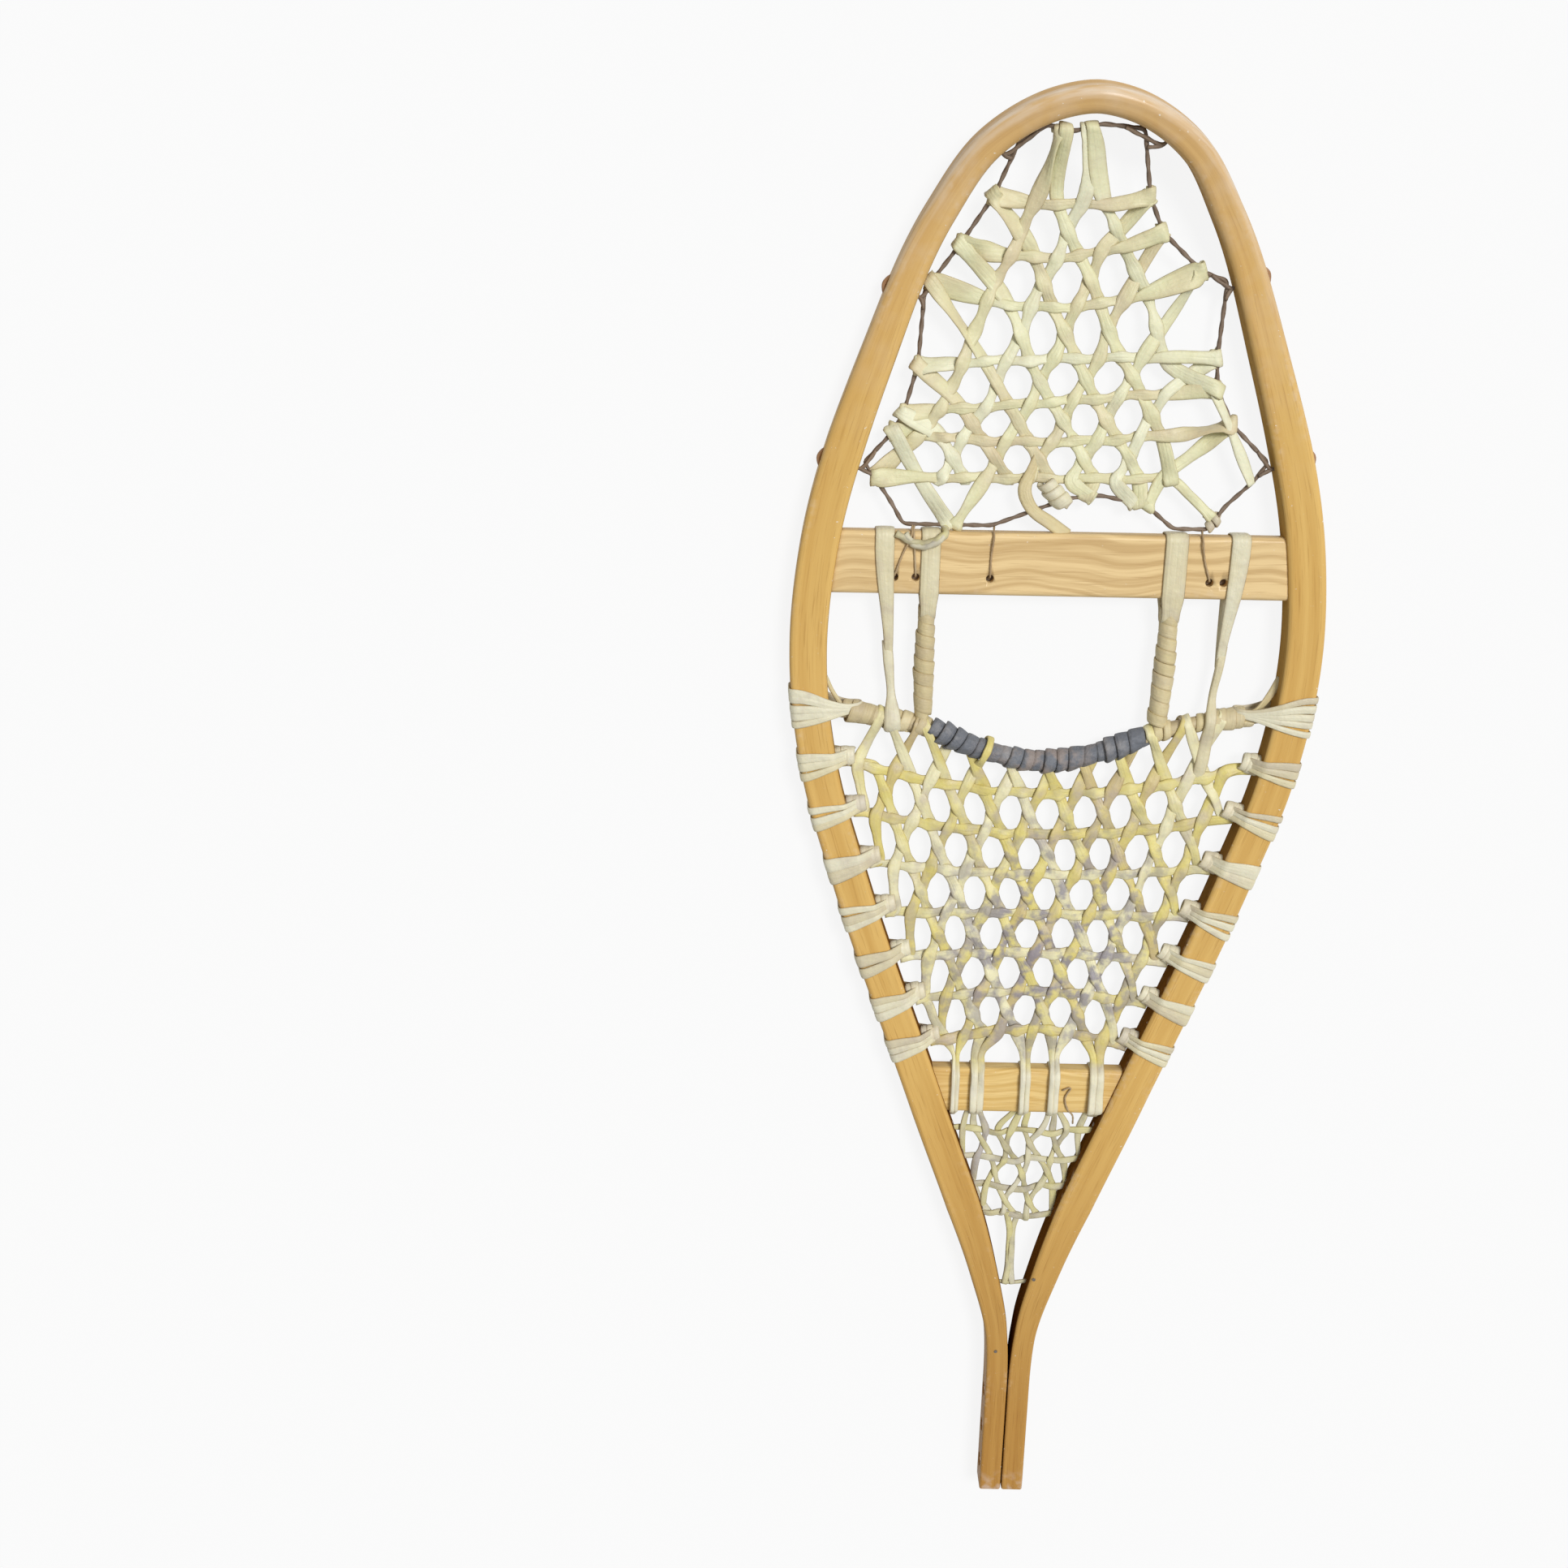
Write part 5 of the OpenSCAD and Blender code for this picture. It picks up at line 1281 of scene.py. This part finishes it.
# %% Ends of the body net's strands
OVER_SLATE, SLATE_NEAR, SLATE_PROUD = np.array([-34.0, -9.0]), 5.0, 2.6
CORD_FREE, HALF_GAP, RISE_SHARE = 101.0, 12.7, 1.2
BAND_XS, BAND_WS = np.array([-44.7, -31.0, -1.5, 16.5, 42.7]), [5.0, 8.5, 6.5, 6.5, 9.0]
BAND_RISE, ON_BAND, BAND_ASIDE = 2.2, 0.54, 0.24
ROUND_CORD = np.array([115, 80, 45, 0, -45, -90, -130])


def hitch_end(eye):
    """Two lace points that take a strand's end into a hitch."""
    return net_points([eye, eye + [np.sign(eye[0]) * IN_HITCH, 0]], [-0.8, -1.2], share=0.8)


def band_end(near, lean):
    """Lace points over the rear crossbar, on one half of the band that the strand leans to."""
    pick = np.argmin(np.abs(BAND_XS - near[0] - lean * BODY_PITCH / 3))
    x, top = BAND_XS[pick] - lean * BAND_WS[pick] * BAND_ASIDE, BAR_H / 2 + BAND_RISE + 0.2 * lean
    middle = (REAR_EDGE + REAR_BACK) / 2
    ys = [REAR_EDGE + 7, REAR_EDGE + 1.2, REAR_EDGE - 3, middle, REAR_BACK + 2, REAR_BACK - 1.6]
    share = ON_BAND * BAND_WS[pick] / BODY_LACE_W
    return net_points([[x, y] for y in ys], [1.0, top - 3.0, top, top, top - 0.2, 0.5], share)


def cord_end(i, near, lean):
    """Lace points where a strand that goes on straight meets the toe cord: over it, or under the slate."""
    way = near + np.linspace(0, 1.5, 200)[:, None] * [-lean * BODY_PITCH / 2, BODY_PITCH * RISE_SHARE]
    at = way[np.argmin(np.abs(way[:, 1] - cord_y(way[:, 0])))]
    if abs(at[0]) > CORD_FREE:
        return hitch_end((body_net.left if at[0] < 0 else body_net.right)[i])
    share = min(0.5, HALF_GAP / (at[1] - near[1]))
    between = net_points([near + (at - near) * share], [lean * BODY_SWING], share=0.9)
    on_slate = SLATE_FROM < at[0] < SLATE_TO
    if on_slate and np.abs(OVER_SLATE - at[0]).min() > SLATE_NEAR:
        return np.vstack([between, net_points([at], [0.0], share=0.8)])
    size = CORD_R + SLATE_PROUD * on_slate + BODY_LACE_T / 2
    return np.vstack([between, hook(at, at - near, size, ROUND_CORD, 0.6 if on_slate else 0.85)])


def body_end(i, near, lean, first):
    """Lace points of a strand's end: at a hitch, round the toe cord, or on a band of the rear crossbar."""
    eye = body_net.next_eye(i, near[0], lean, first)
    if eye is not None:
        between = net_points([(near + eye) / 2], [0.8 * lean * BODY_SWING], share=0.8)
        return np.vstack([between, hitch_end(eye)])
    return cord_end(i, near, lean) if first else band_end(near, lean)


# %% Body net
body_grids = []
for i in range(body_net.rows):
    points = wander(waisted(row_points(body_net, i, BODY_SWING, IN_HITCH, CROSSING)), BODY_WANDER)
    body_grids.append(lace(points, BODY_LACE_W, BODY_LACE_T, twist=0.18))
body_grids += strand_laces(body_net, body_end, BODY_LACE_W, BODY_LACE_T, twist=0.2, swing=BODY_SWING,
                           size=BODY_WANDER)
make_piece("body_net_laces", body_grids, aged_hide, ["body_lacing"])

# %% [markdown]
# ## Side cords and outer strands
# On each side of the toe hole a wound cord and a thinner strand hang from a loop on the front crossbar to the
# toe cord. The loop lies flat on the bar and is drawn in to the cord behind it.

# %% Side cords
SIDE_X, HOLE_SHIFT, SIDE_CORD_R, SIDE_LAY = 69.0, -5.0, 3.4, 20.0
SIDE_PROUD, SIDE_LOOP_W, SIDE_FOOT = {-1: 1.5, 1: 2.0}, {-1: 11.0, 1: 13.0}, {-1: 0.0, 1: -2.0}


def side_cord(side, word):
    """One wound cord between the front crossbar and the toe cord, and its loop on the bar."""
    x = side * SIDE_X + HOLE_SHIFT
    foot_x = x + SIDE_FOOT[side]
    top, low = np.array([[x, FRONT_BACK + 2, MID_Z], [foot_x, cord_y(foot_x) + 2, MID_Z]])
    bow = (top + low) / 2 + [side * 0.8, 0, 0.6]
    axis = even(smooth([top, bow, low], 20), 1.5)
    core = sweep(axis, np.broadcast_to([0, 0, 1.0], axis.shape),
                 twisted(SIDE_CORD_R, distance_along(axis), SIDE_LAY))
    make_piece(word + "_side_cord_core", [core], cord_hide, [word + "_side_cord"])
    wound = axis[(axis[:, 1] < FRONT_BACK - 2) & (axis[:, 1] > low[1] + 2)]
    turns = winding(wound, turns=9.5, radius=SIDE_CORD_R + SIDE_PROUD[side], width=8.4, thick=RIBBON_T,
                    start=side, lean=0.08, uneven=0.35)
    make_piece(word + "_side_winding", [turns], cord_hide, [word + "_side_wrap"])
    return bar_loop(x, FRONT_BAR, SIDE_LOOP_W[side], reach=10.0, neck=SIDE_CORD_R + 1.4, pinch=0.8)


# %% Outer strands and the loops on the front crossbar
OUTER_X, OUTER_LEAN, OUTER_DRAWN = 100.0, 8.0, 4.6
OUTER_HOLD, OVER_CORD, ROUND_FOOT = CORD_R + 1.9, [115, 85, 60], [115, 80, 40, 0, -50, -110]
BELOW_CORD = np.array([[-1.0, -14.0], [-2.0, -26.0], [-4.0, -38.0]])


def outer_strand(side, word):
    """One thin strand: drawn out of its loop, and wrapped on the toe cord or passed on over it."""
    head_x, foot_x = side * OUTER_X, side * (OUTER_X - OUTER_LEAN)
    foot = np.array([foot_x, cord_y(foot_x)])
    run = np.array([[head_x - side * 3.4, FRONT_BACK - 28], [head_x - side * OUTER_DRAWN, FRONT_BACK - 39],
                    [foot_x + side * 1.0, foot[1] + 14]])
    points = net_points(run, [0.0, 1.3, 0.4], share=[1.0, 0.98, 0.82])
    if side < 0:
        ends = [hook(foot, foot - run[2], OUTER_HOLD, ROUND_FOOT, share=1.7)]
    else:
        ends = [hook(foot, foot - run[2], OUTER_HOLD, OVER_CORD, share=1.1),
                net_points(foot + BELOW_CORD, [2.2, 1.6, -2.4], share=1.35)]
    strand = lace(np.vstack([points, *ends]), width=5.8, thick=3.3, twist=0.0)
    make_piece(word + "_outer_lace", [strand], wrap_hide, [word + "_outer_strand"])
    return bar_loop(head_x, FRONT_BAR, width=11.0, reach=40.0, neck=0.8, at_neck=-side * OUTER_DRAWN,
                    pinch=0.44, narrow_from=0.6)


loop_grids = []
for side, word in SIDES:
    loop_grids += [side_cord(side, word), outer_strand(side, word)]
make_piece("front_crossbar_loop_ribbons", loop_grids, wrap_hide, ["front_crossbar_loops"],
           closed=True)

# %% [markdown]
# ## Rear bands and the heel net
# Five ribbons round the rear crossbar join the body net to the fine heel net. That net's rows pass through
# holes in the frame, and a double strand runs from it towards the tail, where a short tie ends it.

# %% Rear bands
band_grids = [bar_loop(x, REAR_BAR, wide, reach=1.2, neck=2.5) for x, wide in zip(BAND_XS, BAND_WS)]
make_piece("rear_crossbar_band_ribbons", band_grids, wrap_hide, ["rear_crossbar_bands"],
           closed=True)

# %% Heel net
HEEL_ROWS, HEEL_TOP, HEEL_STEP, HEEL_SAG = 4, 13.75, 20.0, 2.0
HEEL_LACE_W, HEEL_LACE_T, HEEL_TWIST, HEEL_SWING, HEEL_WANDER = 4.2, 1.8, 0.3, 0.9, 2.0
HEEL_PITCH, HEEL_SHIFT, HEEL_MARGIN, IN_HOLE = 16.0, 2.5, 2.7, 1.0
heel_ys = REAR_BACK - HEEL_TOP - HEEL_STEP * np.arange(HEEL_ROWS)
heel_left, heel_right = [[inset_point(side, y, -IN_HOLE) for y in heel_ys] for side, _ in SIDES]
heel_net = Net(heel_left, heel_right, np.full(HEEL_ROWS, HEEL_SAG), HEEL_PITCH, HEEL_SHIFT, HEEL_MARGIN)


def heel_end(i, near, lean, first):
    """Lace points of a strand's end: at a hole in the frame, under the bar, or on the last row."""
    eye = heel_net.next_eye(i, near[0], lean, first)
    if eye is not None:
        return net_points([eye + (near - eye) * 0.1, eye], [-0.8, -1.0], share=0.8)
    if first:
        band = BAND_XS[np.argmin(np.abs(BAND_XS - near[0]))]
        run = [[(band + near[0]) / 2, REAR_BACK - 3], [(band * 2 + near[0]) / 3, REAR_BACK + 1]]
        return net_points(run, [0.5 * lean, 0.8 * lean], share=0.9)
    return net_points([near + [lean * 2.0, -1.5], near + [lean * 3.5, -0.5]], [-1.2, -1.6], share=0.7)


heel_grids = []
for i in range(heel_net.rows):
    points = wander(row_points(heel_net, i, HEEL_SWING), HEEL_WANDER)
    heel_grids.append(lace(points, HEEL_LACE_W, HEEL_LACE_T, HEEL_TWIST))
heel_grids += strand_laces(heel_net, heel_end, HEEL_LACE_W, HEEL_LACE_T, HEEL_TWIST, HEEL_SWING, HEEL_WANDER,
                           ends_wander=True)
make_piece("heel_net_laces", heel_grids, heel_hide, ["heel_lacing"])

# %% Heel anchors
HEEL_CORD_R, HEEL_CORD_IN, HEEL_CORD_OUT = 1.25, 0.5, 0.2
anchor_grids = []
for side, _ in SIDES:
    for y in heel_ys:
        middle, out, _, _ = frame_axes(side, y)
        half = strip_w(y) / 2
        run = [middle - out * (half + HEEL_CORD_IN), middle, middle + out * (half + HEEL_CORD_OUT)]
        anchor_grids.append(round_cord(run, HEEL_CORD_R))
make_piece("heel_anchor_cords", anchor_grids, dark_cord, ["heel_anchors"])

# %% Tail strand, tie and thread
TIE_Y, STRAND_X = PART_Y + 36.0, -3.0
# How far the two strands stand apart at each of their five points, as a share of their shift
STRAND_SPREAD = np.array([3.4, 1.0, 0.9, 1.0, 2.4])
strand_top = heel_ys[-1] - HEEL_SAG
strand_ys = [strand_top + 2, strand_top - 10, (strand_top + TIE_Y) / 2, TIE_Y + 8, TIE_Y - 1]
tail_grids = []
for shift, height in ((-1.1, 0.4), (1.1, -0.4)):
    xy = np.stack([STRAND_X + shift * STRAND_SPREAD, strand_ys], 1)
    points = net_points(xy, [0, height, -height, height, 1.4])
    tail_grids.append(lace(points, width=4.0, thick=1.9, twist=0.2))
make_piece("heel_tail_laces", tail_grids, heel_hide, ["heel_tail_strand"])
tie_x = inner_x(TIE_Y) + 1.0
tie = net_points([[-tie_x, TIE_Y], [STRAND_X, TIE_Y - 0.5], [tie_x, TIE_Y + 0.5]], [0, 0.3, 0])
tie_grid = lace(tie, width=2.6, thick=1.8, twist=0.3)
make_piece("heel_tie_lace", [tie_grid], heel_hide, ["heel_tie"])
THREAD = np.array([[22, 17], [27, 19], [24, 12], [26, 4], [30, -2], [31, -9]]) + [0, REAR_BACK]
THREAD_UP, THREAD_R, STRING_LAY = np.array([1.0, 1.2, 1.1, 1.0, -2.0, -5.0]) + BAR_H / 2, 0.55, 4.0
thread = round_cord(lifted(THREAD, THREAD_UP), THREAD_R, STRING_LAY)
make_piece("rear_crossbar_thread", [thread], string_hide)

# %% [markdown]
# ## Knot and tie strings
# The toe lacing ends in a coiled knot in front of the crossbar. Thin strings come up through the bar's holes
# and tie the selvage cord to it. They are small, but the eye finds them missing.

# %% Knot
KNOT_AT, KNOT_UP = np.array([-8.0, FRONT_EDGE + 21]), 1.6
KNOT_TAIL = KNOT_AT + np.array([[-7.5, 21], [-12, 12], [-15, 3], [-10, -8], [0, -15], [11, -22.5]])
BEAD_AT, BEAD_REACH = np.array([83.0, FRONT_EDGE + 10]), 6.0
knot_axis = lifted(KNOT_AT + np.linspace([-3.5, 6.5], [8.0, -5.0], 12), KNOT_UP)
coil = winding(knot_axis, turns=3.0, radius=3.8, width=6.6, thick=2.2, start=4.7, lean=0.12, uneven=0.3,
               taper=0.8)
knot_end = net_points(KNOT_TAIL, [-1.0, 1.4, 2.4, 2.6, 2.0, 0.5])
tail_grid = lace(knot_end, width=7.8, thick=1.9, twist=0.3)
bead_axis = smooth(lifted(selvage[np.linalg.norm(selvage - BEAD_AT, axis=1) < BEAD_REACH][::3]), 8)
bead = winding(bead_axis, turns=1.8, radius=2.7, width=4.8, thick=2.0, start=0.5, lean=0.1, uneven=0.15)
make_piece("toe_net_knot", [coil, bead], wrap_hide, ["toe_lacing_knot"])
make_piece("toe_net_knot_tail", [tail_grid], cord_hide)

# %% Strings and tie on the front crossbar
BAR_TOP = BAR_H / 2 + 0.8
STRING_R, TIE_R, PLUG_R = 0.6, 2.0, 2.0
# Places across the shoe where a string leaves its hole, lies on the bar's middle and reaches its edge
STRING_XS = ((-94, -90, -85), (-82, -83, -84), (-40, -40, -39), (84, 80, 78))
STRING_YS = BAR_HOLE_Y + np.array([0.5, 0.8, 13.0, 25.0])
STRING_ZS = MID_Z + np.array([-4.0, BAR_TOP - 1.5, BAR_TOP, BAR_TOP, BAR_H / 2 - 2, 0.0])
string_grids = []
for hole, middle, edge in STRING_XS:
    run = np.stack([[hole, hole, middle, edge, edge, edge + 0.5],
                    [*STRING_YS, FRONT_EDGE + 1.2, FRONT_EDGE + 2.5], STRING_ZS], 1)
    string_grids.append(round_cord(run, STRING_R, STRING_LAY))
tie_x = -SIDE_X + HOLE_SHIFT
top_z = MID_Z + BAR_TOP + RIBBON_T
tie_grids = []
for start, rise in ((-20.0, 0.0), (-15.0, 0.7)):
    run = np.array([[start, -1.0, top_z - 0.6], [-9, -6.0 - rise * 2, top_z],
                    [-1, -5.5 - rise * 2, top_z + 1.3 + rise], [7, -1.0 - rise, top_z + 0.5],
                    [7.5, 2.2, MID_Z]]) + [tie_x, FRONT_EDGE, 0]
    tie_grids.append(round_cord(run, TIE_R))
make_piece("front_crossbar_strings", string_grids, string_hide)
make_piece("front_crossbar_tie", tie_grids, heel_hide)
# Dark cords sunk in the front crossbar's holes: a dark filler standing for the shade inside each hole
plug_zs = MID_Z - BAR_H / 2 + 1, MID_Z + BAR_H / 2 - 5
plugs = [round_cord([[x, BAR_HOLE_Y, z] for z in plug_zs], PLUG_R) for x in BAR_HOLES_X]
make_piece("front_crossbar_hole_shade_cords", plugs, dark_cord)

# %% [markdown]
# ## Floor and light
# A white floor carries the shoe's soft shadow. Seen directly, or in a reflection, it is brightened so that it
# reads as white paper. One broad sun from the upper right and an even sky light the object at a plain level.

# %% Floor
FLOOR_HALF, PAPER_GLOW = 6.0, 0.88
PAPER, WHITE = (0.66, 0.66, 0.66, 1.0), (1.0, 1.0, 1.0, 1.0)


def seen_rays(tree):
    """1 for what is seen directly, in a reflection or through glass, and 0 for light on the object."""
    rays = add(tree, "ShaderNodeLightPath").outputs
    shown = math_node(tree, "ADD", rays["Is Camera Ray"], rays["Is Glossy Ray"])
    return math_node(tree, "ADD", shown, rays["Is Transmission Ray"], True)


floor_mesh = bpy.data.meshes.new("floor")
floor_corners = FLOOR_HALF * np.array([(-1, -1, 0), (1, -1, 0), (1, 1, 0), (-1, 1, 0)])
floor_mesh.from_pydata(floor_corners.tolist(), [], [(0, 1, 2, 3)])
floor = new_object("floor", floor_mesh)
paper, tree, shader = new_finish("white paper")
set_values(shader, Base_Color=PAPER, Roughness=0.9)
glow = add(tree, "ShaderNodeEmission", {"Color": WHITE, "Strength": 1.0})
share = times(tree, seen_rays(tree), PAPER_GLOW)
blend = add(tree, "ShaderNodeMixShader", {0: share, 1: shader.outputs[0], 2: glow.outputs[0]})
tree.links.new(blend.outputs[0], tree.nodes["Material Output"].inputs["Surface"])
floor_mesh.materials.append(paper)
print("floor", 2 * FLOOR_HALF, "m wide")

# %% Light
SUN_STRENGTH, SUN_ANGLE, SKY_STRENGTH, BACKDROP = 2.4, np.radians(22), 0.34, 0.96
sun_from = unit(np.array([0.42, 0.40, 1.0]))
sun_side = unit(np.cross([0, 1.0, 0], sun_from))
sun = new_object("sun", bpy.data.lights.new("sun", "SUN"))
sun.data.energy = SUN_STRENGTH
sun.data.angle = SUN_ANGLE
sun.matrix_world = turned(sun_side, np.cross(sun_from, sun_side), sun_from)
world = bpy.data.worlds.new("sky")
world.use_nodes = True
tree = world.node_tree
sky = tree.nodes["Background"]
sky.inputs["Color"].default_value = WHITE
tree.links.new(ranged(tree, seen_rays(tree), 0.0, 1.0, SKY_STRENGTH, BACKDROP), sky.inputs["Strength"])
scene.world = world
scene.view_settings.view_transform = "Standard"
print("sun", SUN_STRENGTH, "sky", SKY_STRENGTH)
